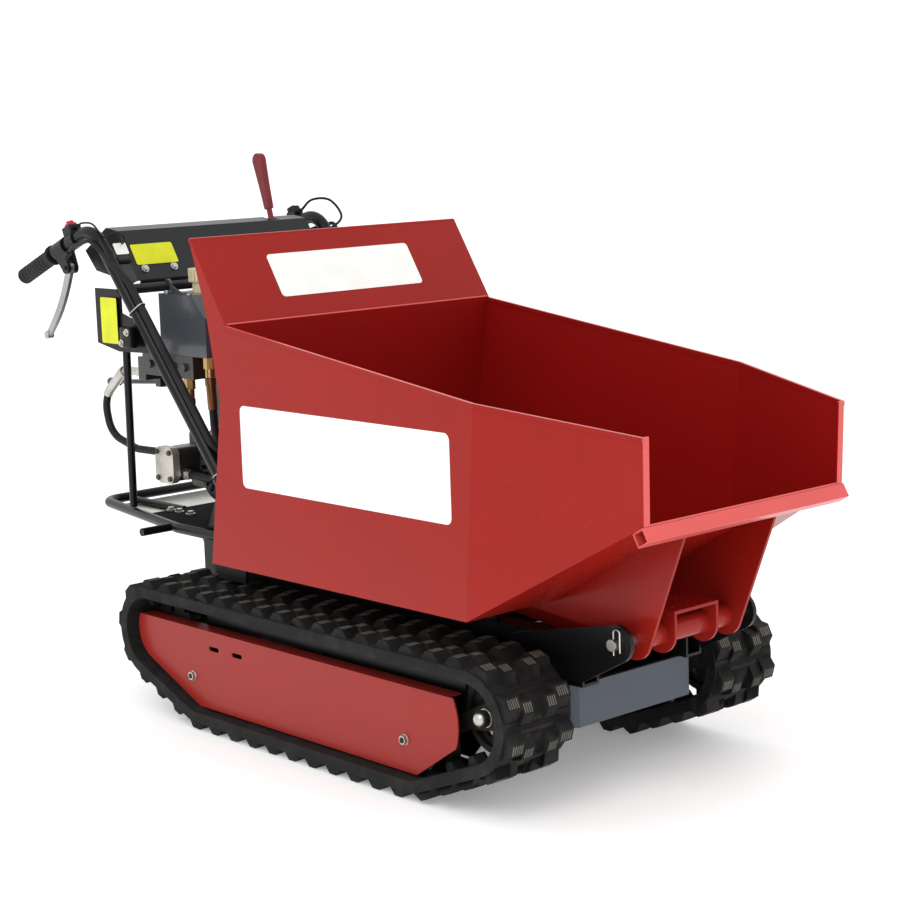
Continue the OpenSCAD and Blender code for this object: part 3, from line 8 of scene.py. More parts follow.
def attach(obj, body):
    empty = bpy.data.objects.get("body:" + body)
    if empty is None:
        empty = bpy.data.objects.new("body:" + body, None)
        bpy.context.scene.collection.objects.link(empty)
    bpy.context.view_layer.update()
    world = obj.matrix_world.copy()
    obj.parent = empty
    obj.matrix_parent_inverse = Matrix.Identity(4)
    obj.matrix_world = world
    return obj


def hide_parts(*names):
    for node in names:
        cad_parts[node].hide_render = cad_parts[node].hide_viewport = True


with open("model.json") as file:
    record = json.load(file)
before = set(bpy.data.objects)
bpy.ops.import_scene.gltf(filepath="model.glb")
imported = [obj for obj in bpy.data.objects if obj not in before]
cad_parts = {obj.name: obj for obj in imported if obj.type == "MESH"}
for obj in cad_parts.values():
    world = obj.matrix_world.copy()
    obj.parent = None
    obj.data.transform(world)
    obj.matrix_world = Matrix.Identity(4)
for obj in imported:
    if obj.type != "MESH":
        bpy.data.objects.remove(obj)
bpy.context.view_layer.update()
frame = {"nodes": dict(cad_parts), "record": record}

bodyOf = {n: b for b, names in frame["record"]["behaviour"]["bodies"].items() for n in names}
originX = 0.09813  # the skip's rear fold lies this far behind the middle
creaseAngle = 32  # degrees; flatter edges are shaded smooth


def foldPoint(x, y, z):  # millimetres from the fold line to metres in the shared frame
    return Vector((x / 1000 - originX, y / 1000, z / 1000))


def foldPath(points, side=1):
    return [foldPoint(x, y * side, z) for x, y, z in points]


# camera

camSetup = {"place": (2.99297, -2.5467, 1.1530), "yaw": 138.22, "pitch": -9.2, "roll": -1.87,
            "focal": 2076.6, "centre": (450.8, 454.4), "frame": 900, "sensor": 36}


def makeCamera(s):
    yaw, pitch, roll = (math.radians(s[k]) for k in ("yaw", "pitch", "roll"))
    forward = Vector((math.cos(yaw) * math.cos(pitch), math.sin(yaw) * math.cos(pitch), math.sin(pitch)))
    right = Vector((math.sin(yaw), -math.cos(yaw), 0))
    up = right.cross(forward)
    sideways = math.cos(roll) * right + math.sin(roll) * up
    upward = -math.sin(roll) * right + math.cos(roll) * up
    data = bpy.data.cameras.new("photoCamera")
    data.sensor_width = s["sensor"]
    data.lens = s["sensor"] * s["focal"] / s["frame"]
    data.shift_x = (s["frame"] / 2 - s["centre"][0]) / s["frame"]
    data.shift_y = (s["centre"][1] - s["frame"] / 2) / s["frame"]
    cam = bpy.data.objects.new("photoCamera", data)
    bpy.context.scene.collection.objects.link(cam)
    m = Matrix((sideways, upward, -forward)).transposed().to_4x4()
    m.translation = s["place"]
    cam.matrix_world = m
    bpy.context.scene.camera = cam


makeCamera(camSetup)
print("camera set")


# shader maths

class Sock:
    def __init__(self, finish, out):
        self.finish, self.out = finish, out

    def math(self, op, a, b):
        return self.finish.node("ShaderNodeMath", {"operation": op}, {0: a, 1: b})

    def __add__(self, o): return self.math("ADD", self, o)
    def __radd__(self, o): return self.math("ADD", o, self)
    def __sub__(self, o): return self.math("SUBTRACT", self, o)
    def __rsub__(self, o): return self.math("SUBTRACT", o, self)
    def __mul__(self, o): return self.math("MULTIPLY", self, o)
    def __rmul__(self, o): return self.math("MULTIPLY", o, self)

    def above(self, edge, soft):  # 0 to 1 as the value passes edge
        return self.finish.node("ShaderNodeMapRange", {"interpolation_type": "SMOOTHSTEP"},
                                {"Value": self, "From Min": edge - soft, "From Max": edge + soft})


class Finish:
    def __init__(self, name, slot):
        self.mat = bpy.data.materials.new(name)
        self.mat.use_nodes = True
        self.slot = slot
        self.tree = self.mat.node_tree
        self.shader = next(n for n in self.tree.nodes if n.type == "BSDF_PRINCIPLED")
        coords = self.tree.nodes.new("ShaderNodeTexCoord")
        self.place = Sock(self, coords.outputs["Object"])

    def node(self, kind, settings=None, sockets=None, out=0):
        n = self.tree.nodes.new(kind)
        for k, v in (settings or {}).items():
            setattr(n, k, v)
        for k, v in (sockets or {}).items():
            self.feed(n.inputs[k], v)
        return Sock(self, n.outputs[out])

    def feed(self, socket, v):
        if isinstance(v, Sock):
            self.tree.links.new(v.out, socket)
        elif isinstance(v, tuple) and len(v) == 3 and len(socket.default_value) == 4:
            socket.default_value = (*v, 1)  # a colour without its alpha
        else:
            socket.default_value = v

    def noise(self, scale, detail=3, rough=0.55, stretch=None):
        where = self.place
        if stretch:
            where = self.node("ShaderNodeMapping", None, {"Vector": self.place, "Scale": stretch})
        return self.node("ShaderNodeTexNoise", None,
                         {"Vector": where, "Scale": scale, "Detail": detail, "Roughness": rough})

    def axis(self, i):
        return self.node("ShaderNodeSeparateXYZ", None, {"Vector": self.place}, i)

    def blend(self, amount, a, b):  # sockets 0, 6, 7 and output 2 are the colour ones
        return self.node("ShaderNodeMix", {"data_type": "RGBA"}, {0: amount, 6: a, 7: b}, 2)

    def look(self, color, rough, bump=None, metal=0.0, coat=0.0, depth=0.0004, strength=0.4, shine=0.5):
        varied = {"Base Color": color, "Roughness": rough, "Metallic": metal, "Coat Weight": coat}
        for k, v in varied.items():
            self.feed(self.shader.inputs[k], v)
        self.shader.inputs["Specular IOR Level"].default_value = shine
        if bump is not None:
            b = self.node("ShaderNodeBump", None, {"Strength": strength, "Distance": depth, "Height": bump})
            self.feed(self.shader.inputs["Normal"], b)
        return self


def tint(rgb):  # screen values 0 to 255 to linear light
    return tuple(((v / 255 + 0.055) / 1.055) ** 2.4 if v > 10.3 else v / 255 / 12.92 for v in rgb)


coatSetup = {"cloud": 5, "scuff": 38, "scuffStretch": (1, 1, 3.2), "scuffEdge": (0.66, 0.05), "dustTop": (0.36, 0.14),
             "mottleEdge": (0.5, 0.28), "mottle": 0.35, "darker": 0.86, "cloudRough": 0.10, "scuffRough": 0.16,
             "peelDepth": 0.0003, "peelStrength": 0.10}


def powderCoat(name, slot, rgb, worn, rough=0.32, peel=420, dust=0.10, coat=0.25, shine=0.5, chips=0.2):
    s = coatSetup
    f = Finish(name, slot)
    cloud = f.noise(s["cloud"], 4)
    fine = f.noise(peel, 2, 0.4)
    scuff = f.noise(s["scuff"], 5, 0.7, s["scuffStretch"]).above(*s["scuffEdge"])
    low = 1 - f.axis(2).above(*s["dustTop"])  # dust gathers low down
    base = f.blend(cloud.above(*s["mottleEdge"]) * s["mottle"], tint(rgb), tint([v * s["darker"] for v in rgb]))
    base = f.blend(scuff * chips + low * cloud * dust, base, tint(worn))
    dull = rough + cloud * s["cloudRough"] + scuff * s["scuffRough"] - 0.05
    return f.look(base, dull, fine, 0, coat, s["peelDepth"], s["peelStrength"], shine)


rubberSetup = {"cloud": 22, "dustEdge": (0.56, 0.16), "depth": 0.0006, "strength": 0.25}


def rubberFinish(name, slot, rgb, dusty, amount=0.35, grain=260, rough=0.78, shine=0.25):
    s = rubberSetup
    f = Finish(name, slot)
    cloud = f.noise(s["cloud"], 5, 0.65)
    speck = f.noise(grain, 3, 0.6)
    base = f.blend(cloud.above(*s["dustEdge"]) * amount, tint(rgb), tint(dusty))
    dull = rough - 0.12 * cloud + speck * 0.08
    return f.look(base, dull, speck + cloud * 0.6, 0, 0, s["depth"], s["strength"], shine)


metalSetup = {"cloud": 30, "stainEdge": (0.55, 0.15), "depth": 0.0002, "strength": 0.14}


def metalFinish(name, slot, rgb, stain, rough=0.30, grain=300, stretch=(1, 1, 1), amount=0.3, metal=1.0):
    s = metalSetup
    f = Finish(name, slot)
    brushed = f.noise(grain, 3, 0.6, stretch)
    cloud = f.noise(s["cloud"], 4, 0.6)
    base = f.blend(cloud.above(*s["stainEdge"]) * amount, tint(rgb), tint(stain))
    dull = rough + brushed * 0.16 + cloud * 0.1 - 0.08
    return f.look(base, dull, brushed, metal, 0, s["depth"], s["strength"])


plasticSetup = {"cloud": 18, "mottleEdge": (0.5, 0.3), "mottle": 0.4, "strength": 0.2, "capEdge": 0.001}


def plasticFinish(name, slot, rgb, rough=0.45, grain=700, depth=0.0002, shine=0.3, cap=None):
    s = plasticSetup
    f = Finish(name, slot)
    grainy = f.noise(grain, 2, 0.5)
    cloud = f.noise(s["cloud"], 3)
    paler = tint([min(255, v * 1.25 + 4) for v in rgb])
    base = f.blend(cloud.above(*s["mottleEdge"]) * s["mottle"], tint(rgb), paler)
    if cap:  # another colour above a height
        base = f.blend(f.axis(2).above(cap[0], s["capEdge"]), base, tint(cap[1]))
    return f.look(base, rough + grainy * 0.12 - 0.06, grainy, 0, 0, depth, s["strength"], shine)


skipRed = powderCoat("skipRed", "skip_paint", (150, 25, 17), (186, 96, 86),
                     rough=0.25, dust=0.14, coat=0.06, shine=0.16, chips=0.04)
# painted shade: a darker copy of the skip red for the walls that face the load and for the floor
skipShadeRed = powderCoat("skipShadeRed", "skip_paint", (142, 17, 14), (160, 60, 54),
                       rough=0.36, dust=0.05, coat=0.05, shine=0.2, chips=0.06)
# painted highlight: a lighter copy of the skip red for the lip, the rims of the shell and the fold
rimHighlightRed = powderCoat("rimHighlightRed", "lip_paint", (214, 80, 76), (232, 150, 146),
                    rough=0.30, coat=0.15, shine=0.4, chips=0.08)
coverRed = powderCoat("coverRed", "cover_paint", (152, 36, 30), (178, 100, 92),
                      rough=0.34, coat=0.08, shine=0.2, chips=0.1)
frameBlack = powderCoat("frameBlack", "frame_paint", (11, 11, 12), (58, 58, 58),
                        peel=500, dust=0.08, coat=0.06, shine=0.22, chips=0.1)
bumperSlate = powderCoat("bumperSlate", "bumper_paint", (64, 72, 85), (108, 112, 118),
                         rough=0.38, coat=0.15, shine=0.35)
consoleGrey = powderCoat("consoleGrey", "console_paint", (27, 29, 33), (70, 72, 76),
                         rough=0.34, coat=0.08, shine=0.26, chips=0.1)
tankGrey = powderCoat("tankGrey", "console_paint", (68, 72, 77), (110, 112, 114), rough=0.24, coat=0.2, shine=0.42)
ramBlack = powderCoat("ramBlack", "ram_paint", (16, 16, 17), (70, 68, 64), rough=0.26, coat=0.15, shine=0.36)
shroudBlack = powderCoat("shroudBlack", "shroud_paint", (27, 27, 29), (86, 86, 86), rough=0.36)
fuelRed = powderCoat("fuelRed", "fuel_paint", (150, 26, 20), (180, 90, 80), rough=0.22, dust=0.05, coat=0.5)
leverBlack = powderCoat("leverBlack", "lever_steel", (34, 34, 36), (100, 100, 98), rough=0.34)
pumpDark = powderCoat("pumpDark", "pump_metal", (38, 34, 33), (96, 84, 76), rough=0.40)
trackRubber = rubberFinish("trackRubber", "track_rubber", (22, 22, 22), (56, 54, 50), amount=0.34)
treadTop = rubberFinish("treadTop", "track_rubber", (88, 86, 79), (124, 120, 110), amount=0.6)
hoseRubber = rubberFinish("hoseRubber", "hose_rubber", (17, 17, 18), (48, 46, 45), amount=0.25, grain=420, rough=0.55)
gripRubber = rubberFinish("gripRubber", "grip_rubber", (24, 24, 26), (58, 58, 58), amount=0.3, grain=500, rough=0.62)
deckMat = rubberFinish("deckMat", "frame_paint", (24, 24, 25), (44, 43, 42),
                       amount=0.3, grain=300, rough=0.85, shine=0.04)
zincSteel = metalFinish("zincSteel", "zinc_steel", (200, 198, 190), (150, 146, 134), rough=0.28)
chromeRod = metalFinish("chromeRod", "chrome_rod", (225, 226, 228), (190, 190, 190), rough=0.08, grain=600, amount=0.1)
wheelSteel = metalFinish("wheelSteel", "wheel_steel", (30, 29, 28), (58, 44, 36),
                         rough=0.55, grain=180, amount=0.4, metal=0.5)
gearboxCast = metalFinish("gearboxCast", "gearbox_cast", (62, 62, 61), (46, 44, 40),
                          rough=0.55, grain=240, amount=0.4, metal=0.6)
engineCast = metalFinish("engineCast", "engine_cast", (140, 140, 136), (88, 84, 76),
                         rough=0.48, grain=240, amount=0.4, metal=0.85)
mufflerSteel = metalFinish("mufflerSteel", "muffler_steel", (104, 96, 90), (120, 72, 44),
                           rough=0.42, grain=160, stretch=(1, 6, 1), amount=0.5)
pumpSilver = metalFinish("pumpSilver", "pump_metal", (206, 202, 192), (150, 142, 124),
                         rough=0.40, grain=260, amount=0.35, metal=0.85)
brassFitting = metalFinish("brassFitting", "brass_fitting", (196, 166, 108), (140, 110, 66), grain=420)
ferruleBrown = metalFinish("ferruleBrown", "brass_fitting", (128, 92, 66), (92, 62, 44),
                           rough=0.36, grain=420, amount=0.4)
leverSilver = metalFinish("leverSilver", "lever_steel", (176, 177, 176), (128, 128, 125),
                          rough=0.32, grain=320, stretch=(1, 4, 1), amount=0.25)
blackPlastic = plasticFinish("blackPlastic", "black_plastic", (15, 15, 16), rough=0.42)
recoilShell = plasticFinish("recoilShell", "recoil_plastic", (15, 15, 16), rough=0.42, cap=(0.537, (176, 176, 172)))
fillerBeige = plasticFinish("fillerBeige", "filler_plastic", (196, 188, 152), rough=0.46)
stopRed = plasticFinish("stopRed", "stop_plastic", (190, 22, 48), rough=0.22)
gearMaroon = plasticFinish("gearMaroon", "gear_plastic", (112, 26, 33), rough=0.30)
panelWhite = plasticFinish("panelWhite", "filler_plastic", (238, 237, 232), rough=0.28, grain=500, depth=0.00008)
panelYellow = plasticFinish("panelYellow", "filler_plastic", (198, 202, 22), rough=0.30, grain=500, depth=0.00008)
print("finishes made")


# pieces

def addPiece(name, mesh, finishes, body, smooth=creaseAngle, weigh=False):
    finishes = finishes if isinstance(finishes, list) else [finishes]
    obj = bpy.data.objects.new(name, mesh)
    bpy.context.scene.collection.objects.link(obj)
    if mesh.materials:
        mesh.materials.clear()
    for f in finishes:
        mesh.materials.append(f.mat)
    mesh.polygons.foreach_set("use_smooth", [True] * len(mesh.polygons))
    mesh.set_sharp_from_angle(angle=math.radians(smooth))
    if weigh:  # flat faces keep their own shading beside eased edges
        obj.modifiers.new("weigh", "WEIGHTED_NORMAL").keep_sharp = True
        shown = obj.evaluated_get(bpy.context.evaluated_depsgraph_get())
        made = bpy.data.meshes.new_from_object(shown)
        obj.modifiers.clear()
        obj.data = made
    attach(obj, body)
    return obj


def meshFrom(bm, name):
    mesh = bpy.data.meshes.new(name)
    bm.to_mesh(mesh)
    bm.free()
    return mesh


# dressed copies of the CAD solids: merged, planar faces joined, edges eased

dressSetup = {"merge": 2e-6, "flat": 0.4}


def easeEdges(bm, edges, ease):
    bmesh.ops.bevel(bm, geom=edges, offset=ease, segments=2, profile=0.5, affect="EDGES", clamp_overlap=True)


def dressNode(node, finishes, ease=0.0, smooth=creaseAngle, zone=None):
    src = frame["nodes"][node]
    bm = bmesh.new()
    bm.from_mesh(src.data)
    bm.transform(src.matrix_world)
    bmesh.ops.remove_doubles(bm, verts=bm.verts, dist=dressSetup["merge"])
    bmesh.ops.dissolve_limit(bm, angle_limit=math.radians(dressSetup["flat"]), verts=bm.verts, edges=bm.edges)
    if ease:
        bend = math.radians(smooth)
        easeEdges(bm, [e for e in bm.edges
                       if e.is_manifold and e.calc_face_angle(0) > bend and e.calc_length() > ease], ease)
    if zone:
        for f in bm.faces:
            f.material_index = zone(f.calc_center_median(), f.normal, f.calc_area())
    obj = addPiece(node + ".shown", meshFrom(bm, node), finishes, bodyOf[node], smooth, bool(ease))
    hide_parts(node)
    return obj


nodeLooks = {  # finish, and how far its edges are eased in metres
    "skip_lip": (rimHighlightRed, 0.0012), "hinge_plates": (skipRed, 0.0009),
    "hinge_yoke": (skipRed, 0.0009), "hinge_pin": (zincSteel, 0.0006), "ram_barrel": (ramBlack, 0.0006),
    "ram_rod": (chromeRod, 0.0006), "front_bumper": (bumperSlate, 0.0009),
    "track_frame_r": (frameBlack, 0.0), "track_frame_l": (frameBlack, 0.0),
    "track_cover_r": (coverRed, 0.0008), "track_cover_l": (coverRed, 0.0008), "cover_nuts": (zincSteel, 0.0005),
    "track_belt_r": (trackRubber, 0.0012), "track_belt_l": (trackRubber, 0.0012),
    "sprocket_r": (wheelSteel, 0.0), "sprocket_l": (wheelSteel, 0.0),
    "idler_r": (wheelSteel, 0.0), "idler_l": (wheelSteel, 0.0),
    "gearbox": (gearboxCast, 0.0), "engine_block": (engineCast, 0.0), "engine_shroud": (shroudBlack, 0.001),
    "fuel_tank": (fuelRed, 0.0012), "air_cleaner": (blackPlastic, 0.0),
    "muffler": (mufflerSteel, 0.0), "belt_guard": (shroudBlack, 0.001), "oil_tank": (tankGrey, 0.0014),
    "tank_filler": (fillerBeige, 0.0006), "control_valve": (pumpDark, 0.0008), "console": (consoleGrey, 0.0009),
    "grips": (gripRubber, 0.0006), "lever_brackets": (blackPlastic, 0.0008), "control_bases": (blackPlastic, 0.0008),
    "guard_rod": (frameBlack, 0.0), "side_plate": (frameBlack, 0.0006), "stop_button": (stopRed, 0.001),
    "throttle_lever": (blackPlastic, 0.0008), "gear_lever": (gearMaroon, 0.0012), "tip_lever": (leverBlack, 0.0006),
    "steering_lever_r": (leverSilver, 0.002), "steering_lever_l": (leverSilver, 0.002),
}
for side in "rl":
    for i in range(1, 5):
        nodeLooks["roller_%s%d" % (side, i)] = (wheelSteel, 0.0)
for node, (finish, ease) in nodeLooks.items():
    dressNode(node, finish, ease)


# nodes with more than one finish, told apart by a face's centre, normal and area

zoneSetup = {"rimArea": 0.006, "rimAbove": 0.4, "rimAhead": 0.6, "loadTop": 0.78, "backAhead": 0.1, "backTop": 0.80,
             "skirtOut": 0.231, "skirtTop": 0.359, "skirtAhead": 0.2, "deckTop": (0.36, 0.37), "tensionerEnd": 0.2855,
             "pumpCover": (-0.1901, -0.1728), "zincBehind": -0.5 - originX, "zincBelow": 0.5}


def skipZone(c, n, area):  # 1 on walls that face the load and on the floor, a darker copy of the red as painted shade; 2 on the rims, a lighter copy as painted highlight
    s = zoneSetup
    rimUp = n.z > 0.85 and c.z > s["rimAbove"]
    rimFront = n.x > 0.55 and c.x > s["rimAhead"]
    if area < s["rimArea"] and (rimUp or rimFront):
        return 2
    facesIn = n.y * c.y < -0.05 and abs(n.y) > 0.5
    facesUp = n.z > 0.2 and c.z < s["loadTop"]
    facesFront = n.x > 0.7 and c.x < s["backAhead"] and c.z < s["backTop"]
    return 1 if facesIn or facesUp or facesFront else 0


def chassisZone(c, n, area):  # 1 on the slate skirts, 2 on top of the deck
    s = zoneSetup
    if abs(c.y) > s["skirtOut"] and abs(n.y) > 0.8 and c.z < s["skirtTop"] and c.x < s["skirtAhead"]:
        return 1
    low, high = s["deckTop"]
    return 2 if n.z > 0.9 and low < c.z < high else 0


def tensionerZone(c, n, area):  # 1 on the outer ends
    return 1 if abs(c.y) > zoneSetup["tensionerEnd"] else 0


def pumpZone(c, n, area):  # 1 on the cover
    low, high = zoneSetup["pumpCover"]
    return 1 if low < c.y < high else 0


def fittingZone(c, n, area):  # 1 on the zinc fittings, at the rear and low down
    return 1 if c.x < zoneSetup["zincBehind"] or c.z < zoneSetup["zincBelow"] else 0


# the skip red, with a painted-shade copy inside and a painted-highlight copy on the rims
dressNode("skip_shell", [skipRed, skipShadeRed, rimHighlightRed], 0.0009, 11, skipZone)
dressNode("chassis_frame", [frameBlack, bumperSlate, deckMat], 0.0008, zone=chassisZone)
for node in ("tensioner_r", "tensioner_l"):
    dressNode(node, [wheelSteel, zincSteel], zone=tensionerZone)
dressNode("recoil_starter", recoilShell)
dressNode("gear_pump", [pumpDark, pumpSilver], 0.0006, zone=pumpZone)
dressNode("hose_fittings", [brassFitting, zincSteel], 0.0004, zone=fittingZone)
print("CAD solids dressed")


# tubes swept along rounded paths

def roundedPath(points, bend, steps):
    out = [points[0]]
    for a, p, b in zip(points, points[1:], points[2:]):
        u, v = (p - a).normalized(), (b - p).normalized()
        turn = u.angle(v)
        if turn < 1e-3:
            out.append(p)
            continue
        m = (v - u * u.dot(v)).normalized()
        c = p - u * bend * math.tan(turn / 2) + m * bend
        for k in range(steps + 1):
            t = turn * k / steps
            out.append(c + bend * (math.sin(t) * u - math.cos(t) * m))
    return out + [points[-1]]


def cutPath(points, start, end):  # the stretch of a path between two lengths along it
    out, gone = [], 0.0
    for a, b in zip(points, points[1:]):
        step = (b - a).length
        for want in (start, end):
            if gone <= want < gone + step:
                out.append(a.lerp(b, (want - gone) / step))
        gone += step
        if start < gone < end:
            out.append(b)
    return out


def smoothPath(points, steps):  # a curve through every point
    ends = [2 * points[0] - points[1]] + points + [2 * points[-1] - points[-2]]
    out = []
    for a, b, c, d in zip(ends, ends[1:], ends[2:], ends[3:]):
        for k in range(steps):
            t = k / steps
            bent = (2 * a - 5 * b + 4 * c - d) * t ** 2 + (3 * b - a - 3 * c + d) * t ** 3
            out.append(0.5 * (2 * b + (c - a) * t + bent))
    return out + [points[-1]]


def addTube(bm, points, radius, sides=20, mat=0, closed=False):  # radius: one, or one for each point
    n = None
    rings = []
    last = len(points) - 1
    for i, p in enumerate(points):
        if closed:
            ahead, behind = points[(i + 1) % len(points)], points[i - 1]
        else:
            ahead, behind = points[min(i + 1, last)], points[max(i - 1, 0)]
        d = (ahead - behind).normalized()
        start = n or (Vector((0, 1, 0)) if abs(d.y) < 0.9 else Vector((1, 0, 0)))
        n = (start - d * start.dot(d)).normalized()
        across = d.cross(n)
        r = radius[i] if isinstance(radius, list) else radius
        rings.append([bm.verts.new(p + r * (math.cos(a) * n + math.sin(a) * across))
                      for a in (2 * math.pi * j / sides for j in range(sides))])
    following = rings[1:] + rings[:1] if closed else rings[1:]
    faces = [bm.faces.new([a[j], a[(j + 1) % sides], b[(j + 1) % sides], b[j]])
             for a, b in zip(rings, following) for j in range(sides)]
    if not closed:
        faces += [bm.faces.new(list(reversed(rings[0]))), bm.faces.new(rings[-1])]
    for f in faces:
        f.material_index = mat


def tubePiece(name, runs, finishes, body, nodes=()):
    bm = bmesh.new()
    for run in runs:
        addTube(bm, *run)
    bmesh.ops.recalc_face_normals(bm, faces=bm.faces)
    obj = addPiece(name, meshFrom(bm, name), finishes, body, 50)
    if nodes:
        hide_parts(*nodes)
    return obj


barSetup = {"start": (-760.35, 286, 854.83), "bend": (-491, 286, 961), "foot": (-95, 252, 430),
            "radius": 13.5, "turn": 60, "steps": 18, "sides": 32}


def makeBars(s):
    for side, node in ((-1, "handlebar_r"), (1, "handlebar_l")):
        path = roundedPath(foldPath([s["start"], s["bend"], s["foot"]], side), s["turn"] / 1000, s["steps"])
        run = (path, s["radius"] / 1000, s["sides"])
        tubePiece(node + ".shown", [run], frameBlack, "chassis", [node])


makeBars(barSetup)

loopSetup = {"front": (-135, 250.2, 365), "shoulder": (-300, 250.2, 365), "corner": (-685, 175, 365),
             "turn": 45, "steps": 14, "radius": 10, "stayX": (-480, -685), "stayY": 110, "stayZ": 361, "stayRadius": 7,
             "pegX": -322, "pegEnd": -322.2, "pegRadius": 8}


def makeLoop(s):
    front, shoulder, corner = s["front"], s["shoulder"], s["corner"]
    right = [(x, -y, z) for x, y, z in (corner, shoulder, front)]
    path = roundedPath(foldPath([front, shoulder, corner] + right), s["turn"] / 1000, s["steps"])
    runs = [(path, s["radius"] / 1000, 28)]
    for y in (-s["stayY"], s["stayY"]):
        runs.append((foldPath([(x, y, s["stayZ"]) for x in s["stayX"]]), s["stayRadius"] / 1000, 20))
    inward = (shoulder[0] - s["pegX"]) / (shoulder[0] - corner[0]) * (shoulder[1] - corner[1])
    peg = [(s["pegX"], y, shoulder[2]) for y in (inward - shoulder[1], s["pegEnd"])]
    runs.append((foldPath(peg), s["pegRadius"] / 1000, 24))
    tubePiece("guard_loop.shown", runs, frameBlack, "chassis", ["guard_loop"])


makeLoop(loopSetup)

hoseSetup = {  # sleeves: start and end along the hose, radius, finish
    "radius": 8, "turn": 54, "steps": 14,
    "sleeves": {"pressure": [(0.5, 52, 8.8, 1), (50, 62, 11.5, 1), (62, 138, 10.2, 1)],
                "suction": [(0.5, 14, 11, 2), (14, 62, 9.6, 2)],
                "work": [(0.5, 12, 10.6, 2), (12, 44, 9.4, 2)]},
    "pressure": [(-522, -178, 656), (-575, -178, 656), (-656, -178, 590), (-640, -176, 515), (-560, -166, 489),
                 (-479, -159, 489)],
    "suction": [(-257, -185, 662), (-250, -185, 560), (-228, -180, 470), (-300, -167, 452), (-375, -159, 452)],
    "work": [(-329, -185, 616), (-326, -186, 572), (-275, -200, 522), (-203, -207, 452), (-190, -207, 418),
             (-190, -207, 384)]}


def makeHoses(s):
    runs = []
    for key, sleeves in s["sleeves"].items():
        path = roundedPath(foldPath(s[key]), s["turn"] / 1000, s["steps"])
        runs.append((path, s["radius"] / 1000, 24))
        for start, end, radius, mat in sleeves:
            runs.append((cutPath(path, start / 1000, end / 1000), radius / 1000, 28, mat))
    tubePiece("hydraulic_hoses.shown", runs, [hoseRubber, zincSteel, ferruleBrown], "chassis", ["hydraulic_hoses"])


makeHoses(hoseSetup)

cableSetup = {
    "clutch": [(-565.6, 298.4, 911), (-535, 308, 922), (-465, 312, 937), (-383, 279, 852), (-160, 260, 552),
               (-140, 226, 510), (-150, 205, 440), (-150, 205, 365.2)],
    "stop": [(-547.5, -286, 962.5), (-528, -286.5, 968), (-490, -287, 966), (-455, -285, 942), (-434, -272, 951),
             (-428, -256, 941), (-446, -246, 928), (-470, -240.3, 925)],
    "throttle": [(-547.5, 286, 962.5), (-515, 292, 986), (-470, 306, 985), (-432, 306, 950), (-438, 275, 926),
                 (-470, 240.3, 925)],
    "turn": 24, "clutchRadius": 4, "stopRadius": 2, "throttleRadius": 2.67,
    "conduit": (150, 795), "conduitStart": 4.2, "conduitRadius": 7.5}


def makeCables(s):
    runs = []
    for side in (1, -1):
        path = roundedPath(foldPath(s["clutch"], side), s["turn"] / 1000, 8)
        runs.append((path, s["clutchRadius"] / 1000, 14))
        cover = cutPath(path, *(v / 1000 for v in s["conduit"]))
        radii = [s["conduitStart"] / 1000] + [s["conduitRadius"] / 1000] * (len(cover) - 1)
        runs.append((cover, radii, 20))
    for key in ("stop", "throttle"):
        runs.append((smoothPath(foldPath(s[key]), 10), s[key + "Radius"] / 1000, 12))
    tubePiece("control_cables.shown", runs, hoseRubber, "chassis", ["control_cables"])


makeCables(cableSetup)

tieSetup = {"heights": (795, 490), "wire": 1.3, "bigSteps": 20, "smallSteps": 12}


def makeTies(s, bar, cable):  # wire ties round a bar and the cable beside it
    runs = []
    big, small = ((r + s["wire"]) / 1000 for r in (bar["radius"], cable["conduitRadius"]))
    for side in (1, -1):
        stemTop, stemFoot = foldPath([bar["bend"], bar["foot"]], side)
        cableTop, cableFoot = foldPath(cable["clutch"][3:5], side)
        along = (stemFoot - stemTop).normalized()
        run = (cableFoot - cableTop).normalized()
        for z in s["heights"]:
            a = stemTop.lerp(stemFoot, (stemTop.z - z / 1000) / (stemTop.z - stemFoot.z))
            b = cableTop + run * ((a - cableTop).dot(along) / run.dot(along))
            u = (b - a).normalized()
            w = along.cross(u)
            meet = math.acos((big - small) / (b - a).length)

            def arc(centre, radius, start, sweep, steps):
                angles = [start + sweep * k / steps for k in range(steps + 1)]
                return [centre + radius * (math.cos(t) * u + math.sin(t) * w) for t in angles]

            loop = arc(a, big, meet, 2 * math.pi - 2 * meet, s["bigSteps"])
            loop += arc(b, small, -meet, 2 * meet, s["smallSteps"])
            runs.append((loop, s["wire"] / 1000, 10, 0, True))
    tubePiece("cableTies", runs, zincSteel, "chassis")


makeTies(tieSetup, barSetup, cableSetup)

paintedFoldSetup = {"x": 1.2, "z": 793.2, "half": 325, "radius": 2.0}


def makePaintedFold(s):  # painted highlight: a pale tube along the fold under the backboard, for its lit edge
    line = foldPath([(s["x"], -s["half"], s["z"]), (s["x"], s["half"], s["z"])])
    tubePiece("foldPaintedHighlight", [(line, s["radius"] / 1000, 14)], rimHighlightRed, "skip")


makePaintedFold(paintedFoldSetup)
print("tubes swept")


# small plates and blocks

def blockPiece(name, low, high, finish, body, ease=0.0008):  # corners in fold millimetres
    a, b = foldPoint(*low), foldPoint(*high)
    bm = bmesh.new()
    bmesh.ops.create_cube(bm, size=1)
    bmesh.ops.scale(bm, vec=b - a, verts=bm.verts)
    bmesh.ops.translate(bm, vec=(a + b) / 2, verts=bm.verts)
    easeEdges(bm, list(bm.edges), ease)
    return addPiece(name, meshFrom(bm, name), finish, body)


plateSetup = {"foot": ((-674, -166, 349.5), (-482, 166, 353.5)), "shadeSheetX": (-195, 556), "shadeSheetY": 260.5, "shadeSheetHalf": 5,
              "shadeSheetZ": (156.2, 214), "clamp": ((-402, -297, 724), (-362, -279.4, 766)), "clampEase": 0.004,
              "strip": ((-409, -236, 838), (-403, 236, 854.5))}


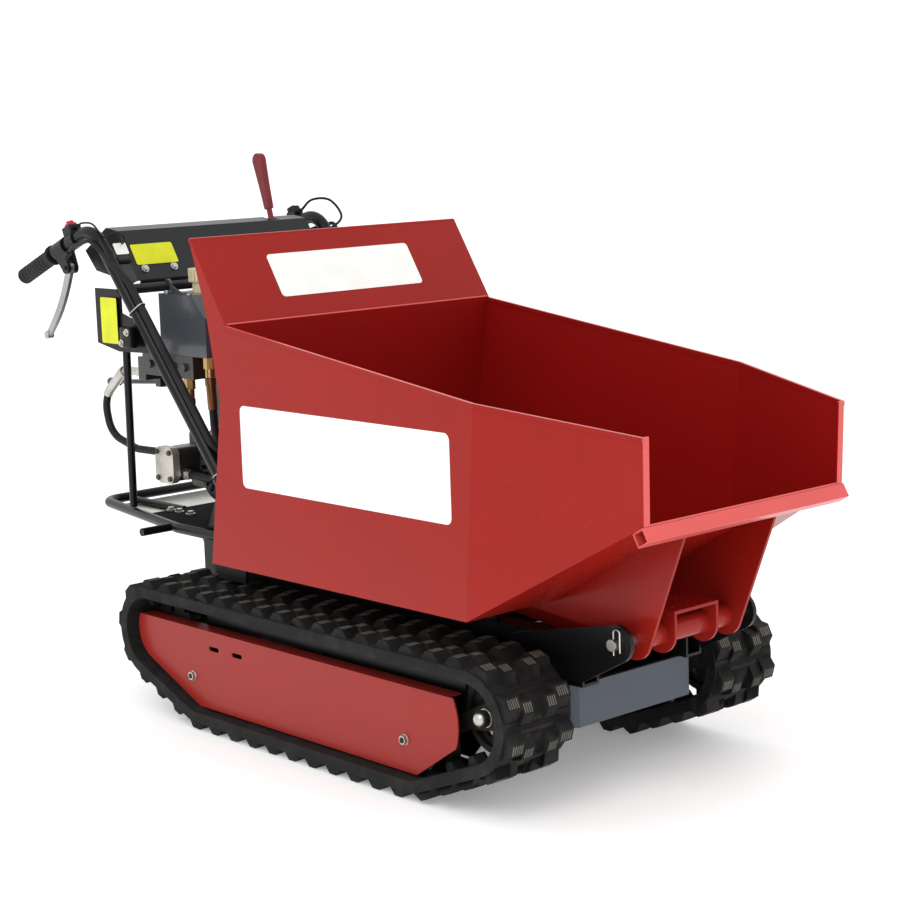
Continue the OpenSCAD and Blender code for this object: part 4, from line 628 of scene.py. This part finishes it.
def makePlates(s):
    blockPiece("footPlate", *s["foot"], zincSteel, "chassis")
    # painted shade: black sheets that fill the gap between the track frame and the belt's top run, for the shadow there
    for side, name in ((-1, "shadeSheetRight"), (1, "shadeSheetLeft")):
        sides = [side * s["shadeSheetY"] + k * s["shadeSheetHalf"] for k in (-1, 1)]
        low, high = zip(s["shadeSheetX"], sides, s["shadeSheetZ"])
        blockPiece(name, low, high, frameBlack, "chassis")
    blockPiece("plateClamp", *s["clamp"], frameBlack, "chassis", s["clampEase"])
    blockPiece("consoleStrip", *s["strip"], frameBlack, "chassis")


makePlates(plateSetup)

domeSetup = {"x": 632, "z": 167, "start": 291.8, "radius": 15, "skirt": 8, "steps": 8, "top": 0.97}


def makeDomes(s):  # dome nuts on the idler axles
    for side, name in ((-1, "idlerDomeRight"), (1, "idlerDomeLeft")):
        path, radii = [], []
        for k in range(s["steps"] + 2):
            a = max(0, k - 1) / s["steps"] * math.pi / 2 * s["top"]
            rise = (s["skirt"] if k else 0) + s["radius"] * math.sin(a)
            path.append(foldPoint(s["x"], side * (s["start"] + rise), s["z"]))
            radii.append(s["radius"] * math.cos(a) / 1000)
        tubePiece(name, [(path, radii, 28)], zincSteel, "chassis")


makeDomes(domeSetup)
print("plates and domes set")


# Geometry Nodes: one shape set on points that carry their own directions

def scatterTree(name, shape, sizes):
    tree = bpy.data.node_groups.new(name, "GeometryNodeTree")
    tree.interface.new_socket("Points", in_out="INPUT", socket_type="NodeSocketGeometry")
    for key, value in sizes.items():
        tree.interface.new_socket(key, in_out="INPUT", socket_type="NodeSocketFloat").default_value = value
    finishId = tree.interface.new_socket("Finish", in_out="INPUT", socket_type="NodeSocketMaterial").identifier
    tree.interface.new_socket("Geometry", in_out="OUTPUT", socket_type="NodeSocketGeometry")

    def add(kind, settings=None, links=None):
        n = tree.nodes.new(kind)
        for k, v in (settings or {}).items():
            setattr(n, k, v)
        for k, v in (links or {}).items():
            if isinstance(v, bpy.types.NodeSocket):
                tree.links.new(v, n.inputs[k])
            else:
                n.inputs[k].default_value = v
        return n

    def named(key, kind):
        return add("GeometryNodeInputNamedAttribute", {"data_type": kind}, {"Name": key}).outputs["Attribute"]

    inputs = add("NodeGroupInput").outputs
    up = add("FunctionNodeAlignRotationToVector", {"axis": "Z"}, {"Vector": named("up", "FLOAT_VECTOR")})
    turned = add("FunctionNodeAlignRotationToVector", {"axis": "X", "pivot_axis": "Z"},
                 {"Rotation": up.outputs["Rotation"], "Vector": named("along", "FLOAT_VECTOR")})
    placed = add("GeometryNodeInstanceOnPoints", None, {
        "Points": inputs["Points"], "Instance": shape(add, inputs),
        "Rotation": turned.outputs["Rotation"], "Scale": named("size", "FLOAT")})
    real = add("GeometryNodeRealizeInstances", None, {"Geometry": placed.outputs["Instances"]})
    dressed = add("GeometryNodeSetMaterial", None,
                  {"Geometry": real.outputs["Geometry"], "Material": inputs["Finish"]})
    add("NodeGroupOutput", None, {"Geometry": dressed.outputs["Geometry"]})
    return tree, finishId


def scatter(name, tree, finishId, spots, finish, body):  # spots: place, up, along, size
    places, ups, alongs, sizes = zip(*spots)
    mesh = bpy.data.meshes.new(name + ".spots")
    mesh.from_pydata(list(places), [], [])
    for key, vectors in (("up", ups), ("along", alongs)):
        flat = [c for v in vectors for c in v]
        mesh.attributes.new(key, "FLOAT_VECTOR", "POINT").data.foreach_set("vector", flat)
    mesh.attributes.new("size", "FLOAT", "POINT").data.foreach_set("value", sizes)
    holder = bpy.data.objects.new(name + ".spots", mesh)
    bpy.context.scene.collection.objects.link(holder)
    mod = holder.modifiers.new("scatter", "NODES")
    mod.node_group = tree
    mod[finishId] = finish.mat
    shown = holder.evaluated_get(bpy.context.evaluated_depsgraph_get())
    made = bpy.data.meshes.new_from_object(shown)
    holder.modifiers.clear()
    bpy.data.objects.remove(holder)
    return addPiece(name, made, finish, body)


def ribShape(add, inputs):
    size = add("ShaderNodeCombineXYZ", None, {"X": inputs["Length"], "Y": inputs["Width"], "Z": inputs["Height"]})
    return add("GeometryNodeMeshCube", None, {"Size": size.outputs["Vector"]}).outputs["Mesh"]


def boltShape(add, inputs):
    height = inputs["Height"]
    head = add("GeometryNodeMeshCylinder", None, {"Vertices": 6, "Radius": inputs["Head"], "Depth": height})
    lift = add("ShaderNodeCombineXYZ", None, {"Z": height})
    raised = add("GeometryNodeTransform", None,
                 {"Geometry": head.outputs["Mesh"], "Translation": lift.outputs["Vector"]})
    washer = add("GeometryNodeMeshCylinder", None, {"Vertices": 28, "Radius": inputs["Washer"], "Depth": height})
    both = add("GeometryNodeJoinGeometry")
    for g in (raised.outputs["Geometry"], washer.outputs["Mesh"]):
        both.id_data.links.new(g, both.inputs["Geometry"])
    return both.outputs["Geometry"]


# tread ribs on the lug tops

treadSetup = {"wheels": ((480, 78.5, 42.5), (632, 167, 70), (-301, 167, 70), (-149, 78.5, 42.5)),
              "carcass": 21, "lug": 15, "pitch": 60, "phase": 0.47, "out": 338, "width": 155, "edge": 5,
              "outerW": 33, "innerW": 24, "step": 9, "ribMargin": 4, "ribPitch": 4.9,
              "rib": {"Length": 0.0165, "Width": 0.0026, "Height": 0.0007}}


def beltRuns(s):  # angle where the belt leaves each wheel, arc on it and run to the next
    leave, arcs, runs = [], [], []
    wheels = s["wheels"]
    for a, b in zip(wheels, wheels[1:] + wheels[:1]):
        dx, dz = b[0] - a[0], b[1] - a[1]
        leave.append(math.atan2(dz, dx) - math.acos((a[2] - b[2]) / math.hypot(dx, dz)))
        runs.append(math.sqrt(dx ** 2 + dz ** 2 - (a[2] - b[2]) ** 2))
    for i, (x, z, r) in enumerate(wheels):
        arcs.append((r + s["carcass"] / 2) * ((leave[i] - leave[i - 1]) % (2 * math.pi)))
    return leave, arcs, runs


def beltPoint(s, belt, t, h):  # place, outward and forward directions at length t, h off the inner face
    leave, arcs, runs = belt
    t %= sum(arcs) + sum(runs)
    i = 0
    while i < 3 and t > arcs[i] + runs[i]:
        t -= arcs[i] + runs[i]
        i += 1
    x, z, r = s["wheels"][i]
    past = t - arcs[i]
    a = leave[i] + min(past, 0) / (r + s["carcass"] / 2)
    out, on = Vector((math.cos(a), 0, math.sin(a))), Vector((-math.sin(a), 0, math.cos(a)))
    return Vector((x, 0, z)) + (r + h) * out + max(past, 0) * on, out, on


def makeTreadRibs(s):
    belt = beltRuns(s)
    total = sum(belt[1]) + sum(belt[2])
    count = round(total / s["pitch"])
    mid = s["out"] - s["width"] / 2
    edge = s["width"] / 2 - s["edge"]
    strips = []  # middle, width and shift along the belt of each row of lug tops
    for k in (1, -1):
        strips.append((mid + k * (edge - s["outerW"] / 2), s["outerW"], 0))
        strips.append((mid + k * (edge - s["outerW"] - s["innerW"] / 2), s["innerW"], -s["step"]))
    tree, finishId = scatterTree("treadRibs", ribShape, s["rib"])
    for side, name in ((-1, "treadRibsRight"), (1, "treadRibsLeft")):
        spots = []
        for i in range(count):
            for y, width, shift in strips:
                t = (i + s["phase"]) * total / count + shift
                p, out, on = beltPoint(s, belt, t, s["carcass"] + s["lug"])
                n = int((width - s["ribMargin"]) / s["ribPitch"])
                for j in range(n if p.z > s["lug"] else 0):  # none where the lugs stand on the ground
                    across = y + (j - (n - 1) / 2) * s["ribPitch"]
                    spots.append((foldPoint(p.x, side * across, p.z), out, on, 1.0))
        scatter(name, tree, finishId, spots, treadTop, "chassis")


makeTreadRibs(treadSetup)
print("tread ribs set")


# bolt heads

boltSetup = {  # sizes in metres, places in fold millimetres with direction and scale
    "sizes": {"Head": 0.0062, "Washer": 0.0088, "Height": 0.0046},
    "console": ([(-423, y, 874) for y in (-213, -143, 143, 213)], (0.839, 0, 0.545), 0.95),
    "clamp": ([(-392, -297.2, 734), (-372, -297.2, 756)], (0, -1, 0), 0.85),
    "deck": ([(x, y, 365.3) for x in (-470, -440, -400, -160) for y in (-150, 150)], (0, 0, 1), 1.1),
    "tank": ([(-385, -190, 825.3), (-305, -190, 825.3), (-385, 10, 825.3)], (0, 0, 1), 0.8)}


def boltSpots(places, up, size):
    up = Vector(up).normalized()
    along = Vector((1, 0, 0)) if abs(up.x) < 0.8 else Vector((0, 1, 0))
    along = (along - up * along.dot(up)).normalized()
    return [(foldPoint(*p), up, along, size) for p in places]


def makeBolts(s):
    tree, finishId = scatterTree("boltHeads", boltShape, s["sizes"])
    spots = [spot for key in ("console", "clamp", "deck", "tank") for spot in boltSpots(*s[key])]
    scatter("boltHeads", tree, finishId, spots, zincSteel, "chassis")


makeBolts(boltSetup)
print("bolts set")


# blank panels stuck on the sheet, with rounded corners

def panelPiece(name, centre, across, upward, size, corner, finish, body, thick=0.0006):  # size and corner in mm
    u, v = Vector(across).normalized(), Vector(upward).normalized()
    n = u.cross(v)
    width, height, corner = size[0] / 1000, size[1] / 1000, corner / 1000
    ring = []
    for cx, cy, start in ((1, 1, 0), (-1, 1, 90), (-1, -1, 180), (1, -1, 270)):
        for k in range(7):
            a = math.radians(start + 15 * k)
            ring.append(((width / 2 - corner) * cx + corner * math.cos(a),
                         (height / 2 - corner) * cy + corner * math.sin(a)))
    bm = bmesh.new()
    low = [bm.verts.new(centre + x * u + y * v) for x, y in ring]
    high = [bm.verts.new(centre + x * u + y * v + n * thick) for x, y in ring]
    bm.faces.new(high)
    bm.faces.new(list(reversed(low)))
    for i in range(len(ring)):
        j = (i + 1) % len(ring)
        bm.faces.new([low[i], low[j], high[j], high[i]])
    bmesh.ops.recalc_face_normals(bm, faces=bm.faces)
    return addPiece(name, meshFrom(bm, name), finish, body, 40)


panelSetup = {  # centre, size and corner radius in fold millimetres
    "side": ((322, 330.1, 572), (570, 152), 12), "back": ((-48.5, 0, 868.5), (350, 92), 8),
    "console": ((-441, -177, 902), (100, 47), 4), "tag": ((-450, -250, 915.9), (30, 26), 3),
    "plate": ((-461, -279.35, 774), (58, 92), 4),
    "backLean": (-97, 0, 153), "backOff": 0.0032, "consoleLean": (-63, 0, 97), "consoleOff": 0.0002}


def makePanels(s):
    leftward, upright = Vector((0, 1, 0)), Vector((0, 0, 1))
    (x, y, z), size, corner = s["side"]
    for side, name in ((-1, "sidePanelRight"), (1, "sidePanelLeft")):
        panelPiece(name, foldPoint(x, side * y, z), (-side, 0, 0), upright, size, corner, panelWhite, "skip")
    for name, key, lean, finish, body in (("backPanel", "back", "back", panelWhite, "skip"),
                                          ("consolePanel", "console", "console", panelYellow, "chassis"),
                                          ("consoleTag", "tag", "console", panelWhite, "chassis")):
        centre, size, corner = s[key]
        up = Vector(s[lean + "Lean"]).normalized()
        lifted = foldPoint(*centre) + leftward.cross(up) * s[lean + "Off"]
        panelPiece(name, lifted, leftward, up, size, corner, finish, body)
    centre, size, corner = s["plate"]
    panelPiece("plateTag", foldPoint(*centre), (1, 0, 0), upright, size, corner, panelYellow, "chassis")


makePanels(panelSetup)
print("panels set")


# studio

studioSetup = {"floor": 300, "floorDrop": 0.0008, "pale": (0.98, 0.98, 0.98), "shade": (0.95, 0.95, 0.95), "glow": 0.22,
               "world": 1.02, "aim": (0, 0, 0.4),
               "lamps": {"keyLight": ((1.6, -3.4, 3.6), 2.6, 62), "fillLight": ((4.2, 1.2, 2.6), 2.2, 10)}}


def makeFloor(s):
    finish = Finish("studioFloor", "")
    finish.look(finish.blend(finish.noise(0.6, 2) * 0.1, s["pale"], s["shade"]), 0.7)
    finish.shader.inputs["Emission Color"].default_value = (1, 1, 1, 1)
    finish.shader.inputs["Emission Strength"].default_value = s["glow"]
    bm = bmesh.new()
    bmesh.ops.create_grid(bm, x_segments=1, y_segments=1, size=s["floor"])
    mesh = meshFrom(bm, "studioFloor")
    mesh.materials.append(finish.mat)
    floor = bpy.data.objects.new("studioFloor", mesh)
    floor.location.z = -s["floorDrop"]
    bpy.context.scene.collection.objects.link(floor)


def makeLight(s):
    world = bpy.data.worlds.new("studioWorld")
    world.use_nodes = True
    sky = world.node_tree.nodes["Background"]
    sky.inputs["Color"].default_value = (1, 1, 1, 1)
    sky.inputs["Strength"].default_value = s["world"]
    bpy.context.scene.world = world
    for name, (place, size, power) in s["lamps"].items():
        data = bpy.data.lights.new(name, "AREA")
        data.size = size
        data.energy = power
        lamp = bpy.data.objects.new(name, data)
        lamp.location = place
        lamp.rotation_euler = (Vector(s["aim"]) - Vector(place)).to_track_quat("-Z", "Y").to_euler()
        bpy.context.scene.collection.objects.link(lamp)
    bpy.context.scene.view_settings.view_transform = "Standard"


makeFloor(studioSetup)
makeLight(studioSetup)
print("studio set")
